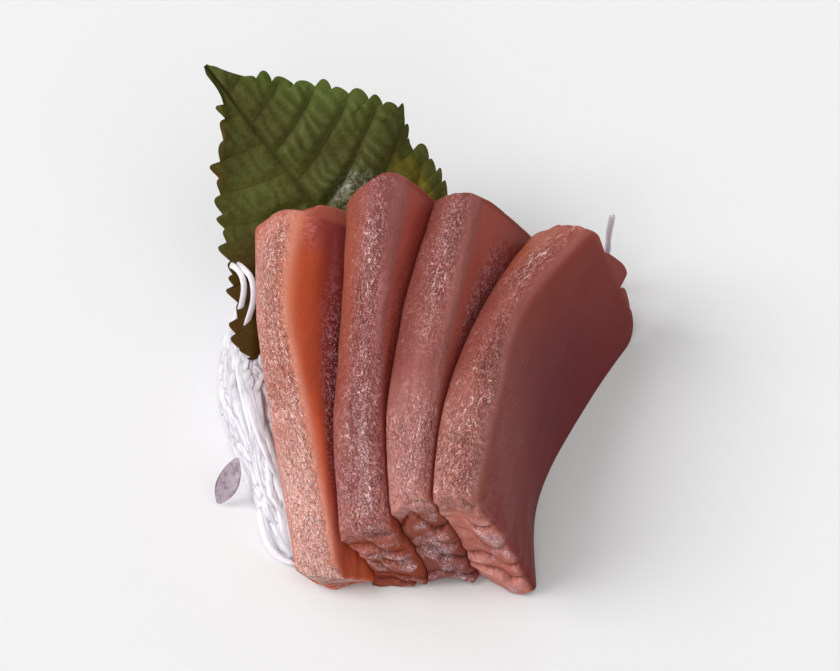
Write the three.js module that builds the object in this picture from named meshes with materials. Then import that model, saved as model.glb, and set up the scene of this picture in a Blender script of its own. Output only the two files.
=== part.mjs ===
// Sashimi: four thick slices of raw fish standing on edge and leaning on one another,
// a shiso leaf tucked in behind them, and a heap of fine daikon threads beside and behind.
// Millimetres, +Z up. The slices run back from the front end (low Y) to the leaf (high Y),
// and they lean to the left (low X). Everything rests on Z = 0.
import * as THREE from "three";
import { mergeVertices } from "three/addons/utils/BufferGeometryUtils.js";

// ---------------------------------------------------------------- driving dimensions

const STATION_STEP = 22;        // Y distance between the four stations of a slice's edges
const TOUCH_GAP = 0.4;          // clearance kept between pieces that lie on one another
const EDGE_RADIUS = 1.3;        // rounding of a slice's cut edges

// Each edge list holds the value at the four stations Y = 0, 22, 44 and 66:
// ridge = highest cut edge, skin = left edge of the skin side, foot = lower right edge,
// belly = how far the right cut face swells out of the straight line from foot to ridge.
// front and back are the Y of the ends at [top left, top right, foot left, foot right].
const SLICES = [
  {
    name: "slice_1", ridgeX: [-13.2, -18.1, -22.9, -20.8], ridgeZ: [9.5, 20, 27, 28.5],
    skinX: [-19.8, -24.3, -27.9, -29.3], skinZ: [6, 13, 18.5, 21],
    footX: [-8.5, -6, -1.5, 5], belly: [2.5, 3, 3.6, 6], crown: 1.8,
    front: [3.5, 1.5, 3, 4.8], back: [65, 63.5, 64, 64], flakes: 3, flakeStep: 0.9,
    colour: 0xb5573f,
  },
  {
    name: "slice_2", ridgeX: [-4.8, -6.9, -6.0, -2.5], ridgeZ: [16.5, 25, 29, 32.5],
    skinX: [-13.3, -14.9, -14.2, -13.6],
    footX: [1.2, 2.8, 8.7, 17], belly: [1, 1.2, 1.6, 2.4], crown: 2.8,
    front: [5.5, 3, 4.5, 4], back: [64.5, 66, 65, 66], flakes: 4, flakeStep: 1.3,
    colour: 0xa8604f,
  },
  {
    name: "slice_3", ridgeX: [0.4, 2.7, 6.1, 9.9], ridgeZ: [24.5, 27, 28.5, 29],
    skinX: [-4.9, -6.1, -3.4, 2.0],
    footX: [9.6, 11.4, 19, 29], belly: [0.6, 1, 1, 1.6], crown: 0.9,
    front: [6.3, 3.8, 5.2, 5], back: [65, 66, 65, 66.5], flakes: 5, flakeStep: 1.4,
    colour: 0xab6552,
  },
  {
    name: "slice_4", ridgeX: [8.6, 12.9, 18.4, 34.5], ridgeZ: [25, 27, 27, 27],
    skinX: [0.9, 3.2, 9.2, 18.5],
    footX: [19.3, 19.9, 29.2, 42], belly: [0.5, 0.6, 0.6, 0.4], crown: 1.2,
    front: [4.2, 2.2, 6.5, 1.6], back: [64.5, 60, 60, 59.5], flakes: 5, flakeStep: 1.1,
    colour: 0x97524a,
  },
];
const FIRST_LEFT_FOOT = [-17.5, -15.5, -11.5, -6];   // lower left edge of slice 1

const LEAF_LENGTH = 59;
const LEAF_START = 0.004;                  // the blunt tip, as a share of the length
const LEAF_END = 0.9;                      // how far down from its tip the leaf runs
const LEAF_THICKNESS = 0.8;
const LEAF_TIP = { x: -37, rise: 52 };     // rise is measured along the leaf's own slope
const LEAF_MIDRIB = 37.9;                  // degrees between the midrib and the slope line
const LEAF_WIDTHS = { left: 0.36, right: 0.35 };      // half widths over the length
const LEAF_TEETH = { pitch: 3.0, depth: 1.15 };
const LEAF_FOOT = { y: 45, z: 11 };        // where the gentle lower part starts
const LEAF_BEND = { rise: 20, gentle: 14, steep: 44 };  // slope in degrees below and above
const LEAF_TUCK = { rise: 26, fade: 15, floor: 2.5 };   // drop behind the slices' back ends

// The heap's spine in plan, with the half width and the height there.
const BED_SPINE = [
  { x: -20, y: 9.5, half: 2.8, height: 4.5 },
  { x: -24, y: 22, half: 3.6, height: 7.5 },
  { x: -27.8, y: 38, half: 5.4, height: 10.5 },
  { x: -28.5, y: 50, half: 6.0, height: 11 },
  { x: -26.6, y: 61, half: 4.8, height: 10.5 },
  { x: -26.5, y: 70, half: 4.6, height: 11.5 },
  { x: -19, y: 77, half: 5.6, height: 14 },
  { x: -8, y: 78.5, half: 6.4, height: 15 },
  { x: 7, y: 76.5, half: 4.0, height: 7 },
];
const BED_STATIONS = 40;
const BED_AROUND = 14;

const STRAND_PATH = [
  [11, 72, 1.1], [22, 71, 1.2], [30.5, 70, 3.2], [33.4, 69.3, 9], [33.3, 69.1, 15], [32.6, 69, 20.5],
];
const STRAND_RADIUS = { root: 0.75, tip: 0.35 };
const CURL = { foot: [-33.9, 21, 0.8], tip: [-30.6, 25.4, 7.6], width: 3.8, thickness: 0.8 };

// ---------------------------------------------------------------- small helpers

const { lerp, smoothstep, degToRad } = THREE.MathUtils;

/** Smooth curve through four values, one at each station. */
function alongStations(values, y) {
  const t = THREE.MathUtils.clamp(y / STATION_STEP, 0, 3);
  const i = Math.min(Math.floor(t), 2);
  const u = t - i;
  const tangent = (k) => {
    const before = values[Math.max(k - 1, 0)];
    const after = values[Math.min(k + 1, 3)];
    return (after - before) / (Math.min(k + 1, 3) - Math.max(k - 1, 0));
  };
  const u2 = u * u;
  const u3 = u2 * u;
  return values[i] * (2 * u3 - 3 * u2 + 1) + tangent(i) * (u3 - 2 * u2 + u)
    + values[i + 1] * (3 * u2 - 2 * u3) + tangent(i + 1) * (u3 - u2);
}

/** Repeatable number from 0 to 1 for a whole number. */
function scatter(n) {
  const value = Math.sin(n * 127.1 + 11.7) * 43758.5453;
  return value - Math.floor(value);
}

function meshFrom(name, positions, indices, colour, roughness) {
  let geometry = new THREE.BufferGeometry();
  geometry.setAttribute("position", new THREE.Float32BufferAttribute(positions, 3));
  geometry.setIndex(indices);
  geometry = mergeVertices(geometry, 1e-5);
  const material = new THREE.MeshStandardMaterial({ color: colour, roughness, metalness: 0 });
  const mesh = new THREE.Mesh(geometry, material);
  mesh.name = name;
  return mesh;
}

/** Closed block whose six sides are grids on the given lines; place() bends it to shape. */
function blockMesh(name, lines, place, colour, roughness) {
  const [na, nb, nc] = lines.map((axis) => axis.length - 1);
  const positions = [];
  const indices = [];
  const numbers = new Map();
  const vertex = (i, j, k) => {
    const key = `${i},${j},${k}`;
    if (!numbers.has(key)) {
      numbers.set(key, positions.length / 3);
      positions.push(...place(lines[0][i], lines[1][j], lines[2][k]));
    }
    return numbers.get(key);
  };
  const side = (nu, nv, at, flip) => {
    for (let u = 0; u < nu; u += 1) {
      for (let v = 0; v < nv; v += 1) {
        const quad = [at(u, v), at(u + 1, v), at(u + 1, v + 1), at(u, v + 1)];
        if (flip) quad.reverse();
        indices.push(quad[0], quad[1], quad[2], quad[0], quad[2], quad[3]);
      }
    }
  };
  side(na, nc, (u, v) => vertex(u, nb, v), false);
  side(na, nc, (u, v) => vertex(u, 0, v), true);
  side(nc, nb, (u, v) => vertex(0, v, u), true);
  side(nc, nb, (u, v) => vertex(na, v, u), false);
  side(na, nb, (u, v) => vertex(u, v, 0), false);
  side(na, nb, (u, v) => vertex(u, v, nc), true);
  return meshFrom(name, positions, indices, colour, roughness);
}

/** Closed skin over rings of equal size, with a fan closing each end. */
function loftMesh(name, rings, colour, roughness) {
  const size = rings[0].length;
  const positions = rings.flat().flatMap((point) => point.toArray());
  const indices = [];
  for (let r = 0; r + 1 < rings.length; r += 1) {
    for (let k = 0; k < size; k += 1) {
      const a = r * size + k;
      const b = r * size + ((k + 1) % size);
      indices.push(a, b, b + size, a, b + size, a + size);
    }
  }
  const closeEnd = (ring, first, flip) => {
    const centre = new THREE.Vector3();
    ring.forEach((point) => centre.add(point));
    centre.divideScalar(size);
    const middle = positions.length / 3;
    positions.push(...centre.toArray());
    for (let k = 0; k < size; k += 1) {
      const a = first + k;
      const b = first + ((k + 1) % size);
      indices.push(...(flip ? [middle, b, a] : [middle, a, b]));
    }
  };
  closeEnd(rings[0], 0, true);
  closeEnd(rings[rings.length - 1], (rings.length - 1) * size, false);
  return meshFrom(name, positions, indices, colour, roughness);
}

// ---------------------------------------------------------------- fish slices

/** Right cut face of a slice at one Y: from the foot (s = 0) up to the ridge (s = 1). */
function rightFace(slice, y, s) {
  const ridge = new THREE.Vector2(alongStations(slice.ridgeX, y), alongStations(slice.ridgeZ, y));
  const foot = new THREE.Vector2(alongStations(slice.footX, y), 0);
  const chord = ridge.clone().sub(foot);
  const outward = new THREE.Vector2(chord.y, -chord.x).normalize();
  const belly = alongStations(slice.belly, y);
  return foot.addScaledVector(chord, s).addScaledVector(outward, belly * 4 * s * (1 - s));
}

/** Where the right face of a slice reaches the given X, from 0 at the foot to 1 at the ridge. */
function reachOnRightFace(slice, y, x) {
  let low = 0;
  let high = 1;
  for (let step = 0; step < 24; step += 1) {
    const middle = (low + high) / 2;
    if (rightFace(slice, y, middle).x > x) low = middle;
    else high = middle;
  }
  return (low + high) / 2;
}

/** Left side of a slice: it lies against the neighbour before it, or hangs over the heap. */
function leftFace(index, y, s) {
  const slice = SLICES[index];
  const skinX = alongStations(slice.skinX, y);
  if (index === 0) {
    const skinZ = alongStations(slice.skinZ, y);
    const footX = alongStations(FIRST_LEFT_FOOT, y);
    return new THREE.Vector2(lerp(footX, skinX, s), skinZ * s);
  }
  const neighbour = SLICES[index - 1];
  const reach = reachOnRightFace(neighbour, y, skinX);
  const point = rightFace(neighbour, y, reach * s);
  return point.add(new THREE.Vector2(TOUCH_GAP, 0));
}

/** How far the layered end stands out at a height share, one pillow for each flake. */
function flakeRelief(slice, index, height, end) {
  const place = Math.min(height, 0.9999) * slice.flakes;
  const flake = Math.floor(place);
  const within = 2 * (place - flake) - 1;
  const pillow = 1 - within ** 4;
  return slice.flakeStep * (0.6 * pillow + scatter(index * 17 + flake + end * 5) - 0.6);
}

function cornerBlend(corners, across, height) {
  const top = lerp(corners[0], corners[1], across);
  const foot = lerp(corners[2], corners[3], across);
  return lerp(foot, top, height);
}

/** Pulls a point of the unit block in to the rounding at its edges; the foot stays sharp. */
function roundBlockPoint(point, size) {
  const half = [size[0] / 2, size[1], size[2] / 2];
  const middle = [0.5, 0, 0.5];
  const offset = point.map((value, k) => (value - middle[k]) * size[k]);
  const inner = offset.map((value, k) => {
    const limit = half[k] - EDGE_RADIUS;
    return THREE.MathUtils.clamp(value, -limit, limit);
  });
  const outer = new THREE.Vector3(...offset.map((value, k) => value - inner[k]));
  if (outer.lengthSq() < 1e-12) return point;
  outer.setLength(EDGE_RADIUS);
  return [outer.x, outer.y, outer.z].map((value, k) => (inner[k] + value) / size[k] + middle[k]);
}

function makeSlice(slice, index) {
  const width = 9.5;
  const tall = slice.ridgeZ[2];
  const length = slice.back[1] - slice.front[1];
  const place = (a, b, c) => {
    const [across, height, along] = roundBlockPoint([a, b, c], [width, tall, length]);
    const front = cornerBlend(slice.front, across, height) - flakeRelief(slice, index, height, 0);
    const back = cornerBlend(slice.back, across, height)
      + 0.6 * flakeRelief(slice, index, height, 1);
    const y = lerp(front, back, along);
    const left = leftFace(index, y, height);
    const right = rightFace(slice, y, height);
    const crown = slice.crown * 4 * across * (1 - across) * height ** 6;
    return [lerp(left.x, right.x, across), y, lerp(left.y, right.y, across) + crown];
  };
  const edge = EDGE_RADIUS * 0.4;
  const across = [0, edge / width, EDGE_RADIUS / width, 0.5,
    1 - EDGE_RADIUS / width, 1 - edge / width, 1];
  const heights = [0];
  for (let flake = 0; flake < slice.flakes; flake += 1) {
    heights.push((flake + 0.1) / slice.flakes, (flake + 0.5) / slice.flakes,
      (flake + 0.92) / slice.flakes);
  }
  heights.push(1);
  const along = [0, edge / length, EDGE_RADIUS / length];
  const steps = 12;
  for (let step = 1; step < steps; step += 1) along.push(step / steps);
  along.push(1 - EDGE_RADIUS / length, 1 - edge / length, 1);
  return blockMesh(slice.name, [across, heights, along], place, slice.colour, 0.35);
}

// ---------------------------------------------------------------- shiso leaf

/** Half width of the leaf at a share of its length from the tip, without the teeth. */
function leafHalfWidth(share, side) {
  const base = share > 0.85 ? Math.sqrt(Math.max(1 - ((share - 0.85) / 0.15) ** 2, 0)) : 1;
  if (side < 0) {
    const belly = Math.max(Math.sin(Math.PI * share ** 1.94), 0) ** 0.54;
    return LEAF_LENGTH * LEAF_WIDTHS.left * belly * smoothstep(share, 0.06, 0.3);
  }
  const slow = share < 0.45 ? share : 0.45 + (share - 0.45) * 0.55;
  return LEAF_LENGTH * LEAF_WIDTHS.right * Math.sin(Math.PI * slow) ** 1.46 * base;
}

/** A tooth leans towards the tip: it rises slowly and falls back quickly. */
function leafTooth(share) {
  const phase = (share * LEAF_LENGTH / LEAF_TEETH.pitch) % 1;
  const rise = phase < 0.3 ? phase / 0.3 : (1 - phase) / 0.7;
  return LEAF_TEETH.depth * (rise - 0.5) * smoothstep(share, 0.08, 0.2);
}

/** Point of the leaf's slope at a sideways place and a rise measured along the slope. */
function leafSlope(x, rise) {
  const gentle = degToRad(LEAF_BEND.gentle);
  const steep = degToRad(LEAF_BEND.steep);
  const low = Math.min(rise, LEAF_BEND.rise);
  const high = Math.max(rise - LEAF_BEND.rise, 0);
  const open = {
    y: LEAF_FOOT.y + low * Math.cos(gentle) + high * Math.cos(steep),
    z: LEAF_FOOT.z + low * Math.sin(gentle) + high * Math.sin(steep),
  };
  if (rise >= LEAF_TUCK.rise) return open;
  const bendOver = LEAF_TUCK.rise - LEAF_BEND.rise;
  const tuckY = LEAF_FOOT.y + LEAF_BEND.rise * Math.cos(gentle) + bendOver * Math.cos(steep);
  const tuckZ = LEAF_FOOT.z + LEAF_BEND.rise * Math.sin(gentle) + bendOver * Math.sin(steep);
  const fall = Math.exp((rise - LEAF_TUCK.rise) / LEAF_TUCK.fade);
  const behind = smoothstep(x, -29, -17);
  return {
    y: lerp(open.y, tuckY, behind),
    z: lerp(open.z, LEAF_TUCK.floor + (tuckZ - LEAF_TUCK.floor) * fall, behind),
  };
}

function makeLeaf() {
  const axis = degToRad(LEAF_MIDRIB);
  const place = (a, b, c) => {
    const share = lerp(LEAF_END, LEAF_START, c);
    const side = a < 0.5 ? -1 : 1;
    const reach = Math.abs(a - 0.5) * 2;
    const tooth = leafTooth(share) * reach ** 4;
    const off = side * (reach * (leafHalfWidth(share, side) + 0.5) + tooth);
    const down = share * LEAF_LENGTH;
    const x = LEAF_TIP.x + down * Math.sin(axis) + off * Math.cos(axis);
    const rise = LEAF_TIP.rise - down * Math.cos(axis) + off * Math.sin(axis);
    const slope = leafSlope(x, rise);
    const steep = degToRad(LEAF_BEND.steep);
    const lift = (b - 0.5) * LEAF_THICKNESS;
    return [x, slope.y - lift * Math.sin(steep), slope.z + lift * Math.cos(steep)];
  };
  const across = [0, 0.1, 0.25, 0.5, 0.75, 0.9, 1];
  const along = [];
  const steps = Math.round(LEAF_END * LEAF_LENGTH / LEAF_TEETH.pitch) * 4;
  for (let step = 0; step <= steps; step += 1) along.push(step / steps);
  return blockMesh("shiso_leaf", [across, [0, 1], along], place, 0x46532f, 0.5);
}

// ---------------------------------------------------------------- daikon

function makeBed() {
  const spine = new THREE.CatmullRomCurve3(
    BED_SPINE.map((knot) => new THREE.Vector3(knot.x, knot.y, 0)), false, "centripetal");
  const sizes = new THREE.SplineCurve(
    BED_SPINE.map((knot) => new THREE.Vector2(knot.half, knot.height)));
  const rings = [];
  for (let station = 0; station <= BED_STATIONS; station += 1) {
    const t = station / BED_STATIONS;
    const centre = spine.getPoint(t);
    const heading = spine.getTangent(t);
    const taper = Math.sqrt(1 - (2 * t - 1) ** 10) * 0.92 + 0.08;
    const size = sizes.getPoint(t).multiplyScalar(taper);
    const ring = [];
    for (let k = 0; k < BED_AROUND; k += 1) {
      const angle = (Math.PI * k) / (BED_AROUND - 1);
      const bump = 1 + 0.12 * (scatter(station * 31 + k * 7) - 0.5) * Math.sin(angle);
      const across = -Math.cos(angle) * size.x * bump;
      const up = Math.max(Math.sin(angle), 0) ** 0.8 * size.y * bump;
      ring.push(new THREE.Vector3(
        centre.x + heading.y * across, centre.y - heading.x * across, up));
    }
    rings.push(ring);
  }
  return loftMesh("daikon_bed", rings, 0xe9e4ec, 0.3);
}

function makeStrand() {
  const path = new THREE.CatmullRomCurve3(STRAND_PATH.map((p) => new THREE.Vector3(...p)));
  const rings = [];
  const stations = 22;
  for (let station = 0; station <= stations; station += 1) {
    const t = station / stations;
    const centre = path.getPoint(t);
    const ahead = path.getTangent(t);
    const side = new THREE.Vector3(0, 1, 0).cross(ahead).normalize();
    const up = ahead.clone().cross(side);
    const radius = lerp(STRAND_RADIUS.root, STRAND_RADIUS.tip, t ** 3);
    const ring = [];
    for (let k = 0; k < 8; k += 1) {
      const angle = (2 * Math.PI * k) / 8;
      ring.push(centre.clone()
        .addScaledVector(side, radius * Math.cos(angle))
        .addScaledVector(up, radius * Math.sin(angle)));
    }
    rings.push(ring);
  }
  return loftMesh("daikon_strand", rings, 0xcfc8d2, 0.3);
}

/** Small pointed slip of radish that leans on the heap. */
function makeCurl() {
  const foot = new THREE.Vector3(...CURL.foot);
  const tip = new THREE.Vector3(...CURL.tip);
  const ahead = tip.clone().sub(foot);
  const side = new THREE.Vector3(1, 0, 0).cross(ahead).normalize();
  const across = side.clone().cross(ahead).normalize();
  const rings = [];
  const stations = 10;
  for (let station = 0; station <= stations; station += 1) {
    const t = station / stations;
    const centre = foot.clone().addScaledVector(ahead, t);
    const swell = Math.sin(Math.PI * (0.06 + 0.88 * t)) ** 0.8;
    centre.addScaledVector(side, 0.8 * Math.sin(Math.PI * t));
    const ring = [];
    for (let k = 0; k < 10; k += 1) {
      const angle = (2 * Math.PI * k) / 10;
      ring.push(centre.clone()
        .addScaledVector(across, CURL.width / 2 * swell * Math.cos(angle))
        .addScaledVector(side, CURL.thickness / 2 * Math.sin(angle)));
    }
    rings.push(ring);
  }
  return loftMesh("daikon_curl", rings, 0xa39bab, 0.35);
}

// ---------------------------------------------------------------- the whole

const plate = new THREE.Group();
SLICES.forEach((slice, index) => plate.add(makeSlice(slice, index)));
plate.add(makeLeaf(), makeBed(), makeStrand(), makeCurl());

const box = new THREE.Box3().setFromObject(plate);
const centre = box.getCenter(new THREE.Vector3());
plate.position.set(-centre.x, -centre.y, -box.min.z);

export default plate;
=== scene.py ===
"""Sashimi serving: slices of raw fish, a shiso leaf and daikon threads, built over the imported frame.

Sizes are in millimetres in a working space whose X runs across the slices, Y runs back along
them from their layered front ends, and Z is up. Meshes are moved to the frame and scaled to
metres when they are made.
"""
import logging
import math
from dataclasses import dataclass, field
from enum import Enum, IntEnum
from typing import Iterable, Optional, Sequence, Union

import bpy
import numpy as np
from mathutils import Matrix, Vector


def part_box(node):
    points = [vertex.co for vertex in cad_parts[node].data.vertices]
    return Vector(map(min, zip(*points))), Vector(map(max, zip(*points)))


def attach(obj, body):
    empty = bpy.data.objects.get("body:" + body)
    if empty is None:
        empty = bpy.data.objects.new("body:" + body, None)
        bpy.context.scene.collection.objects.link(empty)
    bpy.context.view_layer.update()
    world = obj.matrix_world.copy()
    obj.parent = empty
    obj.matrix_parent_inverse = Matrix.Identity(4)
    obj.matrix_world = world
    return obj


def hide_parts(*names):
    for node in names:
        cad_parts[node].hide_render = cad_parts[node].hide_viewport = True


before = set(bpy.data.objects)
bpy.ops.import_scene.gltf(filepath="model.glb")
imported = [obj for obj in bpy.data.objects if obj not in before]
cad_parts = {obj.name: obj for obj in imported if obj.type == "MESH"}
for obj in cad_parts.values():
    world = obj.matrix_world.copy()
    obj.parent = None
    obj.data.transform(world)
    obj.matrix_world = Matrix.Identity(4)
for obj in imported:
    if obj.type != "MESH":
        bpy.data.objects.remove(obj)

log = logging.getLogger("sashimi")

MM = 0.001
BODY = "root"
Array = np.ndarray
Colour = tuple[float, float, float]
DULL_GLOSS = 0.12


# ------------------------------------------------------------------ number helpers


def smoothstep(low: float, high: float, value: Array) -> Array:
    """Eased ramp from 0 at low to 1 at high.

    Args:
        low: value where the ramp starts.
        high: value where it ends.
        value: numbers to ramp.

    Returns:
        The ramp's height at each number.
    """
    share = np.clip((np.asarray(value, float) - low) / (high - low), 0.0, 1.0)
    return share * share * (3.0 - 2.0 * share)


def mix(low: Union[float, Array], high: Union[float, Array], share: Union[float, Array]) -> Array:
    """Straight blend of two values.

    Args:
        low: value at share 0.
        high: value at share 1.
        share: place between them.

    Returns:
        The blended value.
    """
    return low + (high - low) * share


def scatter(number: int) -> float:
    """Repeatable number from 0 to 1 for a whole number.

    Args:
        number: the whole number.

    Returns:
        A number that looks random.
    """
    value = math.sin(number * 127.1 + 11.7) * 43758.5453
    return value - math.floor(value)


def lattice(corner: Array, seed: int) -> Array:
    """Repeatable numbers from -1 to 1 at whole-number corners.

    Args:
        corner: whole-number coordinates, one row for each corner.
        seed: picks one of many patterns.

    Returns:
        One number for each corner.
    """
    mask = 0xFFFFFFFF
    mixed = (corner[:, 0] * 374761393 + corner[:, 1] * 668265263
             + corner[:, 2] * 1442695041 + seed * 974634777) & mask
    mixed = ((mixed ^ (mixed >> 13)) * 1274126177) & mask
    mixed = ((mixed ^ (mixed >> 15)) * 2246822519) & mask
    return ((mixed ^ (mixed >> 16)) & 0xFFFF) / 32767.5 - 1.0


def noise(points: Array, cell: Union[float, Sequence[float]], seed: int, octaves: int = 1) -> Array:
    """Smooth noise at points in space.

    Args:
        points: one row of three numbers for each point.
        cell: size of the pattern, the same every way or one for each axis.
        seed: picks one of many patterns.
        octaves: how many halved copies are added.

    Returns:
        One number for each point, roughly from -1 to 1.
    """
    total = np.zeros(len(points))
    reach = 0.0
    for octave in range(octaves):
        weight = 0.5 ** octave
        place = points / (np.asarray(cell, float) * weight)
        base = np.floor(place)
        part = place - base
        part = part * part * (3.0 - 2.0 * part)
        base = base.astype(np.int64)
        value = np.zeros(len(points))
        for step in range(8):
            offset = np.array([step & 1, (step >> 1) & 1, (step >> 2) & 1])
            share = np.prod(np.where(offset == 1, part, 1.0 - part), axis=1)
            value += share * lattice(base + offset, seed + 31 * octave)
        total += weight * value
        reach += weight
    return total / reach


def along_stations(values: Sequence[float], y: Array, step: float) -> Array:
    """Smooth curve through values set at even stations.

    Args:
        values: the value at each station.
        y: places along the stations' line, from the first.
        step: distance between stations.

    Returns:
        The curve's value at each place.
    """
    knots = np.asarray(values, float)
    last = len(knots) - 1
    place = np.clip(np.asarray(y, float) / step, 0.0, last)
    index = np.minimum(np.floor(place).astype(int), last - 1)
    part = place - index
    tangents = np.gradient(knots)
    squared, cubed = part ** 2, part ** 3
    return (knots[index] * (2 * cubed - 3 * squared + 1)
            + tangents[index] * (cubed - 2 * squared + part)
            + knots[index + 1] * (3 * squared - 2 * cubed)
            + tangents[index + 1] * (cubed - squared))


def smooth_path(knots: Array, count: int) -> Array:
    """Evenly numbered points on a smooth curve through knots.

    Args:
        knots: one row for each knot.
        count: how many points to give.

    Returns:
        One row for each point.
    """
    place = np.linspace(0.0, len(knots) - 1.0, count)
    return np.stack([along_stations(knots[:, k], place, 1.0) for k in range(knots.shape[1])], axis=1)


def held(value: Array) -> Array:
    """Numbers kept from 0 to 1."""
    return np.clip(value, 0.0, 1.0)


def bell(distance: Array, reach: Union[float, Array]) -> Array:
    """Bump that is 1 at distance 0 and fades over its reach."""
    return np.exp(-(distance / reach) ** 2)


def fade(distance: Array, reach: float) -> Array:
    """Weight that is 1 at distance 0 and falls off over its reach."""
    return np.exp(-distance / reach)


def quarter(depth: Array) -> Array:
    """Height of a quarter circle, 1 at depth 0 and 0 at depth 1 or more."""
    return np.sqrt(held(1 - np.maximum(depth, 0) ** 2))


def from_line(place: Array, pitch: float) -> Array:
    """Distance to the nearest of many lines, from a place counted in their pitch."""
    return (0.5 - np.abs(place % 1.0 - 0.5)) * pitch


def unit(vectors: Array) -> Array:
    """Vectors of length 1 along the given rows."""
    return vectors / np.maximum(np.linalg.norm(vectors, axis=-1, keepdims=True), 1e-12)


# ------------------------------------------------------------------ meshes


@dataclass
class Skin:
    """A closed or open surface before it becomes a Blender mesh."""

    points: Array
    faces: Array
    masks: dict[str, Array] = field(default_factory=dict)

    def normals(self) -> Array:
        """Outward direction at each point, from the four-cornered faces around it.

        Returns:
            One unit row for each point.
        """
        corners = self.points[self.faces]
        flat = np.cross(corners[:, 2] - corners[:, 0], corners[:, 3] - corners[:, 1])
        total = np.zeros_like(self.points)
        for column in range(self.faces.shape[1]):
            np.add.at(total, self.faces[:, column], flat)
        return unit(total)

    def push(self, amount: Array) -> None:
        """Moves each point outward by its own amount."""
        self.points = self.points + self.normals() * amount[:, None]


def join(skins: Sequence[Skin]) -> Skin:
    """Puts several surfaces into one, side by side.

    Args:
        skins: surfaces with the same mask names and the same corners to a face.

    Returns:
        One surface holding them all.
    """
    starts = np.cumsum([0] + [len(skin.points) for skin in skins[:-1]])
    return Skin(
        points=np.concatenate([skin.points for skin in skins]),
        faces=np.concatenate([skin.faces + start for skin, start in zip(skins, starts)]),
        masks={name: np.concatenate([skin.masks[name] for skin in skins]) for name in skins[0].masks},
    )


def capped_rings(number: Array, caps: Sequence[int]) -> Array:
    """Triangles that join closed rings into a skin and close both of its ends.

    Args:
        number: the points' numbers, one row for each ring.
        caps: numbers of the points in the middle of the first and the last ring.

    Returns:
        The faces.
    """
    after = np.roll(number, -1, axis=1)
    quads = np.stack([number[:-1], after[:-1], after[1:], number[1:]], axis=-1).reshape(-1, 4)
    first = np.stack([np.full(number.shape[1], caps[0]), after[0], number[0]], 1)
    last = np.stack([np.full(number.shape[1], caps[1]), number[-1], after[-1]], 1)
    return np.concatenate([quads[:, [0, 1, 2]], quads[:, [0, 2, 3]], first, last])


@dataclass
class Block:
    """The six sides of a unit block as grids that share their edges."""

    across: Array
    heights: Array
    along: Array

    def lay(self) -> tuple[Array, Array]:
        """Numbers the block's surface points and joins them with four-cornered faces.

        Returns:
            The points in block shares, and the faces.
        """
        lines = (self.across, self.heights, self.along)
        sizes = [len(line) for line in lines]
        shell = np.zeros(sizes, bool)
        for axis in range(3):
            for end in (0, -1):
                pick: list = [slice(None)] * 3
                pick[axis] = end
                shell[tuple(pick)] = True
        number = np.full(sizes, -1, int)
        number[shell] = np.arange(int(shell.sum()))
        i, j, k = np.nonzero(shell)
        points = np.stack([lines[0][i], lines[1][j], lines[2][k]], axis=1)
        sides = (
            (number[:, -1, :], False), (number[:, 0, :], True),
            (number[0, :, :].T, True), (number[-1, :, :].T, False),
            (number[:, :, 0], False), (number[:, :, -1], True),
        )
        faces = []
        for grid, flip in sides:
            quads = np.stack([grid[:-1, :-1], grid[1:, :-1], grid[1:, 1:], grid[:-1, 1:]], axis=-1)
            quads = quads.reshape(-1, 4)
            faces.append(quads[:, ::-1] if flip else quads)
        return points, np.concatenate(faces)


def tube(path: Array, widths: Array, thicknesses: Array, sides: int, twist: float = 0.0,
         out: Sequence[float] = (0.13, 0.21, 1.0)) -> Skin:
    """Closed tube along a path, with an oval or squared-off section.

    Args:
        path: one row for each ring's centre.
        widths: full width at each ring.
        thicknesses: full thickness at each ring.
        sides: corners of a ring.
        twist: turns of the section from one end to the other.
        out: direction that the section's thin way faces, for the whole path or one for each ring.

    Returns:
        The tube, with its ends drawn to a point.
    """
    ahead = unit(np.gradient(path, axis=0))
    side = unit(np.cross(ahead, np.asarray(out, float)))
    up = np.cross(side, ahead)
    turn = 2 * math.pi * twist * np.linspace(0, 1, len(path))
    first = side * np.cos(turn)[:, None] + up * np.sin(turn)[:, None]
    second = up * np.cos(turn)[:, None] - side * np.sin(turn)[:, None]
    angles = 2 * math.pi * (np.arange(sides) + 0.5) / sides
    squared = np.sign(np.cos(angles)) * np.abs(np.cos(angles)) ** 0.7
    risen = np.sign(np.sin(angles)) * np.abs(np.sin(angles)) ** 0.7
    rings = (path[:, None, :]
             + first[:, None, :] * (widths[:, None] / 2 * squared)[:, :, None]
             + second[:, None, :] * (thicknesses[:, None] / 2 * risen)[:, :, None])
    points = np.concatenate([rings.reshape(-1, 3), path[:1], path[-1:]])
    count = len(path) * sides
    return Skin(points, capped_rings(np.arange(count).reshape(-1, sides), (count, count + 1)))


@dataclass
class Placer:
    """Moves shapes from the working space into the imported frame."""

    shift: Array

    def piece(self, name: str, skin: Skin, material: bpy.types.Material,
              nodes: Iterable[str]) -> bpy.types.Object:
        """Makes a Blender object of a surface and ties it to the frame.

        Args:
            name: the object's name.
            skin: its surface in the working space.
            material: its finish.
            nodes: CAD nodes that it stands for.

        Returns:
            The new object.
        """
        mesh = bpy.data.meshes.new(name)
        points = (skin.points + self.shift) * MM
        mesh.from_pydata(points.tolist(), [], skin.faces.tolist())
        for mask, values in skin.masks.items():
            layer = mesh.attributes.new(mask, "FLOAT", "POINT")
            layer.data.foreach_set("value", np.asarray(values, np.float32))
        mesh.polygons.foreach_set("use_smooth", np.ones(len(mesh.polygons), bool))
        mesh.materials.append(material)
        mesh.update()
        mesh.validate()
        thing = bpy.data.objects.new(name, mesh)
        bpy.context.scene.collection.objects.link(thing)
        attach(thing, BODY)
        replaced = tuple(nodes)
        if replaced:
            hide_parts(*replaced)
        log.info("%s: %d faces", name, len(skin.faces))
        return thing


# ------------------------------------------------------------------ shader writing


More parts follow.
